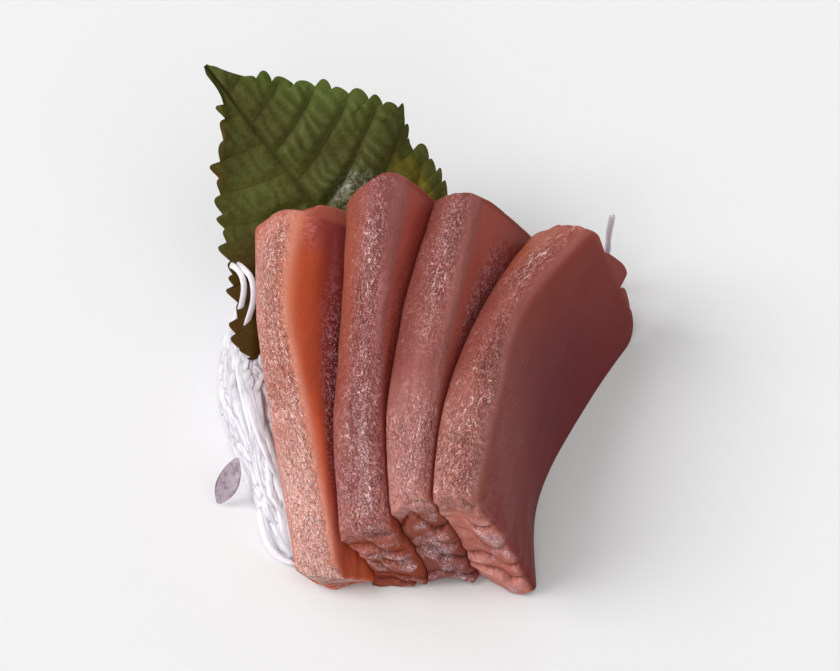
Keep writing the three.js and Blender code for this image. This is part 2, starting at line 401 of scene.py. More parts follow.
Operand = Union["Wire", float, int]


class Wire:
    """A shader socket whose arithmetic adds Math nodes."""

    def __init__(self, graph: "Graph", socket: bpy.types.NodeSocket) -> None:
        """Wraps one output socket of a graph."""
        self.graph = graph
        self.socket = socket

    def _math(self, operation: str, *values: Operand) -> "Wire":
        """Adds one Math node over the given values."""
        inputs = dict(enumerate(values))
        return self.graph.node("ShaderNodeMath", {"operation": operation}, inputs)

    def __add__(self, other: Operand) -> "Wire":
        """Sum with another value."""
        return self._math("ADD", self, other)

    def __radd__(self, other: Operand) -> "Wire":
        """Sum with a value on the left."""
        return self._math("ADD", other, self)

    def __sub__(self, other: Operand) -> "Wire":
        """Difference from another value."""
        return self._math("SUBTRACT", self, other)

    def __rsub__(self, other: Operand) -> "Wire":
        """Difference of a value on the left and this one."""
        return self._math("SUBTRACT", other, self)

    def __mul__(self, other: Operand) -> "Wire":
        """Product with another value."""
        return self._math("MULTIPLY", self, other)

    def __rmul__(self, other: Operand) -> "Wire":
        """Product with a value on the left."""
        return self._math("MULTIPLY", other, self)

    def over(self, low: float, high: float) -> "Wire":
        """Eased ramp from 0 at low to 1 at high.

        Args:
            low: value where the ramp starts.
            high: value where it ends.

        Returns:
            The ramp.
        """
        return self.graph.node(
            "ShaderNodeMapRange", {"interpolation_type": "SMOOTHSTEP", "clamp": True},
            {"Value": self, "From Min": low, "From Max": high, "To Min": 0.0, "To Max": 1.0})

    def held(self) -> "Wire":
        """This value kept from 0 to 1."""
        return self.graph.node("ShaderNodeClamp", {}, {"Value": self})

    def near(self, middle: float, reach: float) -> "Wire":
        """Thin band that is 1 where the value is at the middle and 0 at its reach.

        Args:
            middle: value at the band's centre.
            reach: how far from it the band ends.

        Returns:
            The band.
        """
        return self._math("ABSOLUTE", self - middle).over(reach, 0.0)


@dataclass(frozen=True)
class Grain:
    """One soft noise pattern: its size in millimetres and how much faster it changes along each axis."""

    size: float
    stretch: Sequence[float] = (1.0, 1.0, 1.0)
    detail: float = 2.0
    swirl: float = 0.0
    roughness: float = 0.5


class Graph:
    """The node tree of one material, written as expressions."""

    def __init__(self, name: str) -> None:
        """Starts an empty material with its output node.

        Args:
            name: the material's name.
        """
        self.material = bpy.data.materials.new(name)
        self.material.use_nodes = True
        self.tree = self.material.node_tree
        self.tree.nodes.clear()
        self.output = self.tree.nodes.new("ShaderNodeOutputMaterial")

    def node(self, kind: str, settings: dict, inputs: dict, output: Union[int, str] = 0) -> Wire:
        """Adds a node.

        Args:
            kind: the node's type.
            settings: its own settings, set before its sockets.
            inputs: socket names or numbers, with a value or a Wire for each.
            output: the output socket to give back.

        Returns:
            That output.
        """
        made = self.tree.nodes.new(kind)
        for key, value in settings.items():
            setattr(made, key, value)
        for key, value in inputs.items():
            socket = made.inputs[key]
            if isinstance(value, Wire):
                self.tree.links.new(value.socket, socket)
            elif value is not None:
                socket.default_value = value
        return Wire(self, made.outputs[output])

    def mask(self, name: str) -> Wire:
        """A number stored on the mesh's points."""
        return self.node("ShaderNodeAttribute", {"attribute_name": name}, {}, "Fac")

    def place(self, stretch: Sequence[float], where: Optional[Wire]) -> Wire:
        """A place in millimetres, with each axis stretched by its own factor.

        Args:
            stretch: the factors.
            where: the place, or none for the surface's own.

        Returns:
            The stretched place.
        """
        unit_size = 1.0
        if where is None:
            where, unit_size = self.node("ShaderNodeTexCoord", {}, {}, "Object"), MM
        factors = tuple(value / unit_size for value in stretch)
        return self.node("ShaderNodeVectorMath", {"operation": "MULTIPLY"}, {0: where, 1: factors})

    def pack(self, first: Operand, second: Operand, third: Operand) -> Wire:
        """Puts three numbers into one vector."""
        return self.node("ShaderNodeCombineXYZ", {}, {0: first, 1: second, 2: third})

    def noise(self, grain: Grain, where: Optional[Wire] = None) -> Wire:
        """Soft noise from 0 to 1.

        Args:
            grain: the pattern.
            where: place in millimetres, if it isn't the surface's own.

        Returns:
            The noise.
        """
        return self.node("ShaderNodeTexNoise", {}, {
            "Vector": self.place(grain.stretch, where), "Scale": 1.0 / grain.size,
            "Detail": grain.detail, "Distortion": grain.swirl, "Roughness": grain.roughness})

    def blend(self, share: Operand, first: Union[Wire, Colour], second: Union[Wire, Colour]) -> Wire:
        """Mixes two colours.

        Args:
            share: how much of the second.
            first: a colour or a link.
            second: a colour or a link.

        Returns:
            The mixed colour.
        """
        made = self.tree.nodes.new("ShaderNodeMix")
        made.data_type = "RGBA"
        for socket, value in ((made.inputs[0], share), (made.inputs[6], first), (made.inputs[7], second)):
            if isinstance(value, Wire):
                self.tree.links.new(value.socket, socket)
            elif isinstance(value, (int, float)):
                socket.default_value = value
            else:
                socket.default_value = (*value, 1.0)
        return Wire(self, made.outputs[2])

    def bump(self, height: Wire, depth: float, strength: Operand = 1.0,
             under: Optional[Wire] = None) -> Wire:
        """Relief too fine for the mesh.

        Args:
            height: the relief, from 0 to 1.
            depth: its full depth in millimetres.
            strength: how much of it shows.
            under: relief that this one lies on.

        Returns:
            The normal.
        """
        inputs = {"Height": height, "Distance": depth * MM, "Strength": strength}
        if under is not None:
            inputs["Normal"] = under
        return self.node("ShaderNodeBump", {}, inputs)

    def finish(self, inputs: dict) -> bpy.types.Material:
        """Closes the material with a Principled shader.

        Args:
            inputs: its socket values and links.

        Returns:
            The material.
        """
        shader = self.node("ShaderNodeBsdfPrincipled", {}, inputs)
        self.tree.links.new(shader.socket, self.output.inputs["Surface"])
        return self.material


def shade(red: int, green: int, blue: int) -> Colour:
    """Linear colour from screen values of 0 to 255.

    Args:
        red: red value.
        green: green value.
        blue: blue value.

    Returns:
        The colour that a shader takes.
    """
    def linear(value: int) -> float:
        """One channel on the linear scale."""
        share = value / 255.0
        return share / 12.92 if share <= 0.04045 else ((share + 0.055) / 1.055) ** 2.4
    return linear(red), linear(green), linear(blue)


# ------------------------------------------------------------------ finishes


@dataclass(frozen=True)
class FleshFinish:
    """Wet raw fish: a crinkled silvery skin side, smooth cut faces and layered ends."""

    name: str
    skin: Colour = shade(164, 94, 86)
    skin_deep: Colour = shade(118, 56, 50)
    valley_shade: Colour = shade(98, 38, 26)
    fleck: Colour = shade(224, 162, 152)
    cut_lit: Colour = shade(150, 76, 64)
    cut: Colour = shade(158, 70, 58)
    cut_shade_and_streaks: Colour = shade(116, 38, 30)
    end: Colour = shade(150, 70, 54)
    end_deep: Colour = shade(108, 40, 28)
    ridge: Colour = shade(178, 108, 100)
    crease: Colour = shade(76, 20, 12)
    tint: Colour = shade(92, 30, 40)
    warm: Colour = shade(156, 78, 44)
    glint: Colour = shade(214, 164, 176)
    shine: Colour = shade(236, 204, 208)
    spark: Colour = shade(248, 214, 206)
    glow: float = 0.3
    streaks: Grain = Grain(0.9, (1.0, 0.09, 1.0), 3.0, 0.3)
    clouds: Grain = Grain(7.0, (1.0, 0.6, 1.0), swirl=0.6)
    crinkles: Grain = Grain(1.25, (1.0, 0.5, 1.0), 2.0, 1.8, 0.55)
    fines: Grain = Grain(0.55, (1.0, 0.7, 1.0), 1.5, 1.2, 0.6)
    specks: Grain = Grain(0.8, (1.0, 0.6, 1.0), 2.0, 1.0, 0.6)
    streak_relief: float = 0.22
    crinkle_relief: float = 1.3
    fine_relief: float = 0.8
    bleed: float = 2.0

    def colour(self, graph: Graph, streaks: Wire, clouds: Wire, light: Wire, dark: Wire,
               spark: Wire) -> Wire:
        """Colour over the whole slice.

        Args:
            graph: the material's graph.
            streaks: noise drawn out along the slice.
            clouds: broad noise.
            light: thin pale lines of the crinkled skin, painted highlight on the crinkles' lit sides.
            dark: thin dark lines beside them, painted shade on the crinkles' shaded sides.
            spark: small bright glints among them.

        Returns:
            The colour.
        """
        fleck, deep = graph.mask("fleck"), graph.mask("deep")
        # Painted shade on the cut face: lightest just under the ridge, darkest down in the valley; streaks
        # of darker flesh are mixed in as well.
        cut = graph.blend(deep.over(0.0, 0.34), self.cut_lit, self.cut)
        cut = graph.blend(deep.over(0.4, 1.0), cut, self.cut_shade_and_streaks)
        cut = graph.blend((streaks * 1.3 + clouds * 0.8 - 0.7).held() * 0.5, cut, self.cut_shade_and_streaks)
        cut = graph.blend(graph.mask("tint"), cut, self.tint)
        cut = graph.blend(graph.mask("warm") * 0.85, cut, self.warm)
        cut = graph.blend(light * graph.mask("glint"), cut, self.glint)
        top = graph.blend((streaks * 0.9 + clouds * 0.8 - 0.35).held(), self.skin_deep, self.skin)
        # Painted shade: the top darkens towards its left edge, where it turns down into the valley.
        top = graph.blend(graph.mask("valley_shade"), top, self.valley_shade)
        top = graph.blend(graph.mask("warm"), top, self.warm)
        # Painted highlight: the top turns paler towards the front.
        front_sheen = graph.mask("pale") * (streaks * 0.5 + clouds * 0.6 + 0.2)
        top = graph.blend(front_sheen.held(), top, self.fleck)
        # Painted shade and highlight: dark lines on the crinkles' shaded sides, pale flecks on their lit
        # sides over the skin's own pale flecks.
        top = graph.blend((dark * (fleck * 0.8 + 0.08)).held(), top, self.skin_deep)
        top = graph.blend((light * fleck * 0.9).held(), top, self.fleck)
        top = graph.blend((spark * fleck * 0.9).held(), top, self.spark)
        face = graph.blend(graph.mask("skin"), cut, top)
        layered = graph.blend((streaks * 0.8 + clouds * 0.9 + graph.mask("layer") * 0.9 - 0.85).held(),
                              self.end_deep, self.end)
        layered = graph.blend(graph.mask("warm"), layered, self.warm)
        # Painted shine: pale glints on the wet layered ends.
        layered = graph.blend((graph.mask("wet") * 0.22).held(), layered, self.glint)
        layered = graph.blend(((light + spark * 0.8) * graph.mask("wet")).held(), layered, self.shine)
        face = graph.blend((graph.mask("end") + graph.mask("rim")).held(), face, layered)
        # Painted highlight: a pale line along the rounded ridge.
        face = graph.blend(graph.mask("ridge") * (0.3 + streaks * 0.5), face, self.ridge)
        # Painted shade in the creases between the flakes.
        return graph.blend(graph.mask("crease"), face, self.crease)

    def make(self) -> bpy.types.Material:
        """Builds the material.

        Returns:
            The finished material.
        """
        graph = Graph(self.name)
        where = graph.pack(graph.mask("girth"), graph.mask("length"), graph.mask("height"))
        skin, wet = graph.mask("skin"), (graph.mask("wet") + graph.mask("glint")).held()
        streaks, clouds = graph.noise(self.streaks, where), graph.noise(self.clouds, where)
        crinkle, fine = graph.noise(self.crinkles, where), graph.noise(self.fines, where)
        broken = fine.over(0.4, 0.56)
        # Iso-lines of the crinkle noise: pale lines stand for the crinkles' lit sides, dark lines beside
        # them for their shaded sides.
        light = (crinkle.near(0.54, 0.032) * broken + fine.near(0.58, 0.05)).held()
        dark = (crinkle.near(0.47, 0.05) * 0.9 + fine.near(0.42, 0.06) * 0.7).held()
        spark = graph.noise(self.specks, where).over(0.6, 0.66) * clouds.over(0.42, 0.6)
        rough_skin = (graph.mask("fleck") * 1.15 * skin + wet * 0.8).held()
        relief = graph.bump(streaks, self.streak_relief, 0.5)
        relief = graph.bump(crinkle, self.crinkle_relief, (rough_skin * 0.9 + 0.02).held(), relief)
        relief = graph.bump(fine, self.fine_relief, (rough_skin * 0.9 + 0.03).held(), relief)
        return graph.finish({
            "Base Color": self.colour(graph, streaks, clouds, light, dark, spark),
            "Roughness": (0.5 - rough_skin * 0.12 + clouds * 0.06).held(),
            "Coat Weight": (rough_skin * (light * 0.6 + 0.12) + graph.mask("wet") * 0.5 + 0.02).held(),
            "Coat Roughness": 0.2,
            "Specular IOR Level": DULL_GLOSS,
            "Subsurface Weight": self.glow,
            "Subsurface Radius": (1.0, 0.28, 0.18),
            "Subsurface Scale": self.bleed * MM,
            "Normal": relief,
        })


@dataclass(frozen=True)
class LeafFinish:
    """Shiso leaf: dull dark green, quilted between dark veins, rusty at its left edge."""

    name: str
    blade: Colour = shade(80, 84, 32)
    blade_dark: Colour = shade(52, 46, 10)
    bright: Colour = shade(74, 88, 30)
    lit_crest: Colour = shade(100, 108, 62)
    vein: Colour = shade(38, 34, 10)
    rust: Colour = shade(68, 44, 3)
    fold: Colour = shade(112, 98, 18)
    sheen: Colour = shade(142, 138, 116)
    clouds: Grain = Grain(8.0, swirl=0.6)
    mottle: Grain = Grain(0.7, swirl=0.8)
    relief: float = 0.22

    def make(self) -> bpy.types.Material:
        """Builds the material.

        Returns:
            The finished material.
        """
        graph = Graph(self.name)
        vein, lit_crest, gloss_sheen = graph.mask("vein"), graph.mask("lit_crest"), graph.mask("gloss_sheen")
        clouds, mottle = graph.noise(self.clouds), graph.noise(self.mottle)
        tone = graph.blend((clouds * 1.2 + mottle * 0.9 - 0.55).held(), self.blade_dark, self.blade)
        tone = graph.blend(graph.mask("bright") * 0.8, tone, self.bright)
        # Painted highlight on the crests of the puckered blade.
        tone = graph.blend((lit_crest * (mottle * 0.9 + 0.1) * 0.55).held(), tone, self.lit_crest)
        tone = graph.blend((graph.mask("rim") * (clouds * 1.3 + 0.05)).held(), tone, self.rust)
        tone = graph.blend(graph.mask("folded") * 0.8, tone, self.fold)
        # Painted sheen: greyish glints on a glossy patch of the blade.
        tone = graph.blend((gloss_sheen * mottle.over(0.44, 0.62)) * 0.8, tone, self.sheen)
        tone = graph.blend((vein * 0.6).held(), tone, self.vein)
        relief = graph.bump(mottle, self.relief, 0.6)
        return graph.finish({
            "Base Color": tone,
            "Roughness": (0.58 - gloss_sheen * 0.2 + mottle * 0.08).held(),
            "Specular IOR Level": DULL_GLOSS,
            "Coat Weight": (gloss_sheen * 0.5 + lit_crest * 0.05).held(),
            "Coat Roughness": 0.3,
            "Normal": relief,
        })


@dataclass(frozen=True)
class RadishFinish:
    """Moist translucent radish, white with a lavender tint."""

    name: str
    flesh: Colour = shade(250, 246, 252)
    tint: Colour = shade(214, 202, 222)
    tint_share: float = 0.5
    deep: Colour = shade(178, 164, 192)
    mottle: float = 0.2
    glow: float = 0.5
    clouds: Grain = Grain(4.0, swirl=0.5)
    grain: Grain = Grain(0.9, (1.0, 0.5, 1.0), 3.0, 0.5)
    relief: float = 0.25
    coat: float = 0.4
    bleed: float = 2.5

    def make(self) -> bpy.types.Material:
        """Builds the material.

        Returns:
            The finished material.
        """
        graph = Graph(self.name)
        tone, rim = graph.mask("tone"), graph.mask("rim")
        clouds, grain = graph.noise(self.clouds), graph.noise(self.grain)
        colour = graph.blend((tone * self.tint_share + clouds * 0.5 - 0.15).held(), self.flesh, self.tint)
        colour = graph.blend(grain.over(0.45, 0.62) * self.mottle, colour, self.tint)
        colour = graph.blend((rim * 0.8 + grain * rim * 0.4).held(), colour, self.deep)
        relief = graph.bump(grain, self.relief, 0.4)
        return graph.finish({
            "Base Color": colour,
            "Roughness": (0.3 + grain * 0.15).held(),
            "Coat Weight": self.coat,
            "Coat Roughness": 0.12,
            "Subsurface Weight": self.glow,
            "Subsurface Radius": (1.0, 0.95, 1.0),
            "Subsurface Scale": self.bleed * MM,
            "Normal": relief,
        })


@dataclass(frozen=True)
class TableFinish:
    """Plain pale table top under the serving."""

    name: str = "pale_table"
    colour: Colour = shade(223, 223, 223)

    def make(self) -> bpy.types.Material:
        """Builds the material.

        Returns:
            The finished material.
        """
        graph = Graph(self.name)
        return graph.finish({"Base Color": (*self.colour, 1.0), "Roughness": 0.9,
                             "Specular IOR Level": 0.1})


# ------------------------------------------------------------------ fish slices


class Pattern(IntEnum):
    """What each noise pattern adds to its slice's seed."""

    RIPPLE = 3
    SWELL = 5
    PATCHES = 9
    BUCKLE = 40
    HEM = 60
    WAVER = 70


class Face(Enum):
    """Side of a slice that a patch lies on."""

    TOP = 0
    RIGHT = 1


@dataclass(frozen=True)
class Patch:
    """Soft oval patch on one side of a slice.

    Its place and reach are a share of the way across the top, or down the right face to the
    valley, and millimetres along the slice.
    """

    face: Face
    centre: tuple[float, float]
    reach: tuple[float, float]
    amount: float

    def cover(self, share: Array, y: Array) -> Array:
        """How much of the patch lies at each place.

        Args:
            share: places across the face.
            y: places along the slice.

        Returns:
            The amount there.
        """
        across = (share - self.centre[0]) / self.reach[0]
        along = (y - self.centre[1]) / self.reach[1]
        return self.amount * np.exp(-(across ** 2 + along ** 2) ** 1.5)


@dataclass
class Slice:
    """One thick slice: its edges at four stations, its ends and its flaky layers."""

    name: str
    ridge_x: Sequence[float]
    ridge_z: Sequence[float]
    skin_x: Sequence[float]
    foot_x: Sequence[float]
    belly: Sequence[float]
    front: Sequence[float]
    back: Sequence[float]
    flakes: int
    flake_step: float
    flake_slant: float
    seed: int
    finish: FleshFinish
    slot: str
    skin_z: Optional[Sequence[float]] = None
    left_foot: Optional[Sequence[float]] = None
    crown: float = 0.9
    dome: float = 0.0
    ridge_radius: float = 2.8
    left_radius: float = 1.7
    front_radius: float = 0.5
    back_radius: float = 0.5
    side_radius: float = 0.2
    droop: float = 0.0
    shoulder: float = 0.2
    pale: float = 0.3
    flake_split: float = 0.45
    corner_round: float = 0.0
    back_lobe: float = 0.0
    back_plain: float = 0.0
    heel_round: float = 0.0
    plain_right: float = 0.8
    plain_front: float = 0.4
    skin_from: float = 0.02
    skin_full: float = 0.35
    back_flakes: int = 4
    back_step: float = 0.7
    tongue: float = 0.0
    valley_shade: float = 0.8
    flecks: float = 0.3
    fleck_patches: Sequence[Patch] = ()
    glint_patches: Sequence[Patch] = ()
    tint_patches: Sequence[Patch] = ()
    warm_patches: Sequence[Patch] = ()


@dataclass
class SliceShape:
    """Turns block shares into places on the slices, which lean on one another."""

    slices: Sequence[Slice]
    station: float = 22.0
    gap: float = 0.05
    width: float = 9.5
    waver: float = 1.0
    waver_rows: float = 6.5
    waver_reach: float = 4.0
    waver_fade: float = 4.5
    upright_radius: float = 0.2
    halvings: int = 20

    def right_face(self, one: Slice, y: Array, share: Array) -> tuple[Array, Array]:
        """Right cut face from the foot to the ridge.

        Args:
            one: the slice.
            y: places along it.
            share: 0 at the foot, 1 at the ridge.

        Returns:
            X and Z of the places.
        """
        ridge_x = along_stations(one.ridge_x, y, self.station)
        ridge_z = along_stations(one.ridge_z, y, self.station)
        foot_x = along_stations(one.foot_x, y, self.station)
        run = ridge_x - foot_x
        length = np.hypot(run, ridge_z)
        swell = along_stations(one.belly, y, self.station) * 4 * share * (1 - share)
        place = np.stack([0.0 * y, share * self.waver_rows, y * 0.1], axis=1)
        waver = self.waver * noise(place, 1.0, one.seed + Pattern.WAVER, 2) * smoothstep(1.0, 0.85, share)
        waver = waver * smoothstep(0.0, 0.2, share)
        waver = waver * fade(np.maximum(y - self.waver_reach, 0.0), self.waver_fade)
        return (foot_x + run * share + ridge_z / length * swell + waver,
                ridge_z * share - run / length * swell)

    def contact(self, index: int, y: Array) -> Array:
        """Share up a slice's right face where the next slice's skin side starts.

        Args:
            index: which slice.
            y: places along it.

        Returns:
            The share, or 0 where no slice follows.
        """
        if index + 1 >= len(self.slices):
            return np.zeros_like(y)
        skin_x = along_stations(self.slices[index + 1].skin_x, y, self.station)
        low, high = np.zeros_like(y), np.ones_like(y)
        for _ in range(self.halvings):
            middle = (low + high) / 2
            right_of = self.right_face(self.slices[index], y, middle)[0] > skin_x
            low = np.where(right_of, middle, low)
            high = np.where(right_of, high, middle)
        return (low + high) / 2

    def left_face(self, index: int, y: Array, share: Array) -> tuple[Array, Array]:
        """Left side: it lies on the neighbour before it, or hangs over the heap.

        Args:
            index: which slice.
            y: places along it.
            share: 0 at the foot, 1 at the skin side's left edge.

        Returns:
            X and Z of the places.
        """
        one = self.slices[index]
        if one.skin_z is not None and one.left_foot is not None:
            skin_x = along_stations(one.skin_x, y, self.station)
            skin_z = along_stations(one.skin_z, y, self.station)
            foot_x = along_stations(one.left_foot, y, self.station)
            return mix(foot_x, skin_x, share), skin_z * share
        x, z = self.right_face(self.slices[index - 1], y, self.contact(index - 1, y) * share)
        return x + self.gap, z

    def round_edges(self, shares: Array, one: Slice, length: float) -> tuple[Array, Array]:
        """Rounds the block's edges, apart from those at the foot.

        Args:
            shares: points of the block.
            one: the slice.
            length: the block's length.

        Returns:
            The points pulled in, and the block's outward direction at each.
        """
        tall = one.ridge_z[2]
        sizes = np.array((self.width, tall, length))
        middle = np.array((0.5, 0.0, 0.5))
        offset = (shares - middle) * sizes
        side, rise, run = offset.T
        radius = np.where(side > 0, one.ridge_radius, one.left_radius)
        inner_side = self.width / 2 - radius
        out_side = np.maximum(np.abs(side) - inner_side, 0)
        out_rise = np.maximum(rise - (tall - radius), 0)
        depth = radius - np.maximum(out_side, out_rise)
        fit = self.to_round(out_side, out_rise)
        towards = np.maximum(np.hypot(out_side, out_rise), 1e-9)
        out_side, out_rise = out_side * fit, out_rise * fit
        lean_side, lean_rise = out_side / towards / fit, out_rise / towards / fit

        end_radius = np.where(run < 0, one.front_radius, one.back_radius)
        upright = np.where((side > 0) & (run < 0), one.side_radius, self.upright_radius)
        end_radius = mix(upright, end_radius, smoothstep(0.0, 0.5, out_rise / radius))
        near_rim = np.maximum(end_radius - depth, 0)
        near_end = np.maximum(end_radius - (length / 2 - np.abs(run)), 0)
        fit = self.to_round(near_rim, near_end)
        inward = near_rim * (1 - fit)
        side = np.sign(side) * np.where(out_side > 0, inner_side + out_side - inward * lean_side,
                                        np.abs(side))
        rise = np.where(out_rise > 0, tall - radius + out_rise - inward * lean_rise, rise)
        run = np.sign(run) * (np.abs(run) - near_end * (1 - fit))
        along = near_end ** 2 / np.maximum(near_rim ** 2 + near_end ** 2, 1e-9)
        flat = np.sqrt(1 - along)
        outward = np.stack([np.sign(side) * lean_side * flat, lean_rise * flat,
                            np.sign(run) * np.sqrt(along)], axis=1)
        return np.stack([side, rise, run], axis=1) / sizes + middle, outward

    @staticmethod
    def to_round(first: Array, second: Array) -> Array:
        """Factor that turns a square corner's two depths into a quarter circle's.

        Args:
            first: depth past one edge.
            second: depth past the other.

        Returns:
            The factor for both depths.
        """
        length = np.hypot(first, second)
        both = (first > 0) & (second > 0)
        return np.where(both, np.maximum(first, second) / np.maximum(length, 1e-9), 1.0)


@dataclass
class FishSlices:
    """All the slices of fish, from left to right. Reaches, spacings and fades are in millimetres."""

    shape: SliceShape
    across_steps: int = 34
    across_evenness: float = 0.45
    height_steps: int = 88
    height_ease: float = 1.12
    end_reach: float = 7.0
    end_spacing: float = 0.27
    back_reach: float = 4.0
    back_spacing: float = 0.35
    long_spacing: float = 0.6
    lip_share: float = 0.74
    crease_share: float = 0.1
    buckle: float = 0.75
    stand_fade: float = 3.0
    corner_fade: float = 2.5
    tongue_fade: float = 3.5
    lobe_fade: float = 4.0
    heel_share: float = 0.22
    droop_fade: float = 4.0
    dome_from: float = 40.0
    dome_full: float = 62.0
    ripple: float = 0.12
    swell: float = 0.3
    hem_lift: float = 2.2
    hem_fade: float = 2.5
    crease_shading: float = 0.85

    def lines(self, one: Slice) -> Block:
        """Grid lines of one slice, closer together at its layered ends.

        Args:
            one: the slice.

        Returns:
            The block to bend.
        """
        length = one.back[1] - one.front[1]
        even = np.linspace(0, 1, self.across_steps + 1)
        across = mix(0.5 - 0.5 * np.cos(math.pi * even), even, self.across_evenness)
        heights = 1 - (1 - np.linspace(0, 1, self.height_steps + 1)) ** self.height_ease
        near = np.arange(one.front_radius, self.end_reach, self.end_spacing)
        middle = np.arange(self.end_reach, length - self.back_reach, self.long_spacing)
        far = np.arange(length - self.back_reach, length - one.back_radius, self.back_spacing)
        along = np.concatenate([np.linspace(0, one.front_radius, 6), near, middle, far,
                                np.linspace(length - one.back_radius, length, 5)])
        return Block(across, heights, np.unique(along) / length)

    def flakes(self, one: Slice, across: Array, height: Array, end: int) -> tuple[Array, ...]:
        """Relief of the layered ends, whose layers slant and wander.

        Args:
            one: the slice.
            across: share across.
            height: share up.
            end: 0 at the front, 1 at the back.

        Returns:
            How far each place stands out, how deep in a crease it is, how near a flake's lip, and the
            flake's own tone from 0 to 1.
        """
        count = one.back_flakes if end else one.flakes
        step = one.back_step if end else one.flake_step
        wander = np.stack([across * 1.5, height * 2.2, np.full_like(across, one.seed + 7.3 * end)], axis=1)
        place = held(height) * count - one.flake_slant * (across - 0.5)
        split = across + 0.12 * np.sin(height * 9 + one.seed) - mix(0.35, 0.65, scatter(one.seed + end))
        place = place + 0.62 * noise(wander, 1.0, one.seed, 2) + 0.2 * np.sin(place * 2.7 + one.seed)
        place = place + one.flake_split * smoothstep(-0.08, 0.08, split)
        number = np.floor(place)
        within = place - number
        jut = mix(0.1, 1.0, np.minimum(1, within / self.lip_share) ** 0.55)
        jut = jut * quarter((within - self.lip_share) / (1 - self.lip_share))
        lifts = np.array([scatter(one.seed * 17 + k + end * 5) for k in range(-4, count + 5)])
        lift = lifts[np.clip(number.astype(int) + 4, 0, len(lifts) - 1)]
        layer = np.stack([across * 3.2, number * 3.7, np.full_like(across, one.seed + 2.1 * end)], axis=1)
        buckle = self.buckle * noise(layer, 1.0, one.seed + Pattern.BUCKLE, 2)
        stand = step * (0.9 * jut + 0.7 * lift + buckle * jut - 0.9)
        stand = stand * mix(0.4, 1.0, smoothstep(0.0, 0.16, across) * smoothstep(1.0, 0.84, across))
        below_top = smoothstep(0.97, 0.9, height)
        crease = bell(within, self.crease_share) * smoothstep(-0.6, 0.1, buckle)
        lip = bell(within - self.lip_share - 0.08, 0.13) * smoothstep(-0.35, 0.25, buckle)
        return stand, held(crease) * below_top, lip * below_top, held(0.5 + 0.5 * lift)

    @staticmethod
    def corner_blend(values: Sequence[float], across: Array, height: Array) -> Array:
        """Blend of values set at an end's upper left, upper right, lower left and lower right."""
        return mix(mix(values[2], values[3], across), mix(values[0], values[1], across), height)

    def build(self, index: int) -> Skin:
        """Shapes one slice.

        Args:
            index: which slice.

        Returns:
            Its surface, with the masks that its finish reads.
        """
        one = self.shape.slices[index]
        shares, faces = self.lines(one).lay()
        length = one.back[1] - one.front[1]
        pulled, outward = self.shape.round_edges(shares, one, length)
        across, height, along = pulled.T
        from_front, from_back = along * length, (1 - along) * length
        stand_front, crease_front, lip_front, tone_front = self.flakes(one, across, height, 0)
        stand_back, crease_back, _, tone_back = self.flakes(one, across, height, 1)

        front, back = (self.corner_blend(end, across, height) for end in (one.front, one.back))
        y = mix(front, back, along)
        y = y - stand_front * fade(from_front, self.stand_fade)
        y = y + stand_back * fade(from_back, self.stand_fade)
        y = y + one.corner_round * smoothstep(0.4, 0.0, across) ** 2 * fade(from_front, self.corner_fade)
        tongue = one.tongue * smoothstep(0.12, 0.3, across)
        tongue = tongue * smoothstep(0.95, 0.9, height) * smoothstep(0.3, 0.5, height)
        y = y + tongue * fade(from_back, self.tongue_fade)
        lobe = one.back_lobe * smoothstep(0.8, 0.52, height) * smoothstep(0.43, 0.49, height)
        heel = one.heel_round * (1 - quarter(1 - height / self.heel_share))
        y = y + (lobe - heel) * fade(from_back, self.lobe_fade)
        left_x, left_z = self.shape.left_face(index, y, height)
        right_x, right_z = self.shape.right_face(one, y, height)
        arch = held(4 * across * (1 - across)) ** 0.75 * held(height) ** 6
        crown = (one.crown + one.dome * smoothstep(self.dome_from, self.dome_full, y)) * arch
        upright = mix(left_z, right_z, across) + crown
        rise = upright * (1 - one.droop * fade(from_front, self.droop_fade))
        points = np.stack([mix(left_x, right_x, across), y, rise], axis=1)

        skin = Skin(points, faces)
        in_front = along < 0.5
        ends = outward[:, 2] ** 2
        on_top = smoothstep(one.skin_from, one.skin_full, held(outward[:, 1]) ** 2)
        right, left = held(outward[:, 0]) ** 2, held(-outward[:, 0]) ** 2
        shoulder = in_front * smoothstep(1 - one.shoulder, 1 - 0.6 * one.shoulder, height)
        on_top = np.maximum(on_top, shoulder * smoothstep(0.7, 0.2, right) * smoothstep(0.0, 0.3, ends))
        crease = (crease_front * held(ends * in_front + 0.5 * fade(from_front, 1.2))
                  + crease_back * held(ends * (along > 0.5) + 0.4 * fade(from_back, 0.8)))
        ripple = self.ripple * on_top * noise(points, (1.0, 9.0, 1.0), one.seed + Pattern.RIPPLE, 2)
        swell = self.swell * noise(points, (6.0, 11.0, 6.0), one.seed + Pattern.SWELL, 2)
        reach = self.shape.contact(index, y)
        deep = held((1 - height) / np.maximum(1 - reach, 0.05))
        free = held(on_top + right * smoothstep(1.0, 0.85, deep) + ends)
        skin.push((ripple + swell * free) * smoothstep(0.0, 0.05, height))
        hem = noise(points * np.array([1.0, 0.3, 0.0]), 4.5, one.seed + Pattern.HEM, 2)
        hem = np.maximum(hem + 0.1, 0) * fade(from_front, self.hem_fade) * smoothstep(0.25, 0.0, height)
        skin.points[:, 2] += self.hem_lift * hem
        self.paint(one, skin, (across, height, y), (on_top, right, ends), deep)
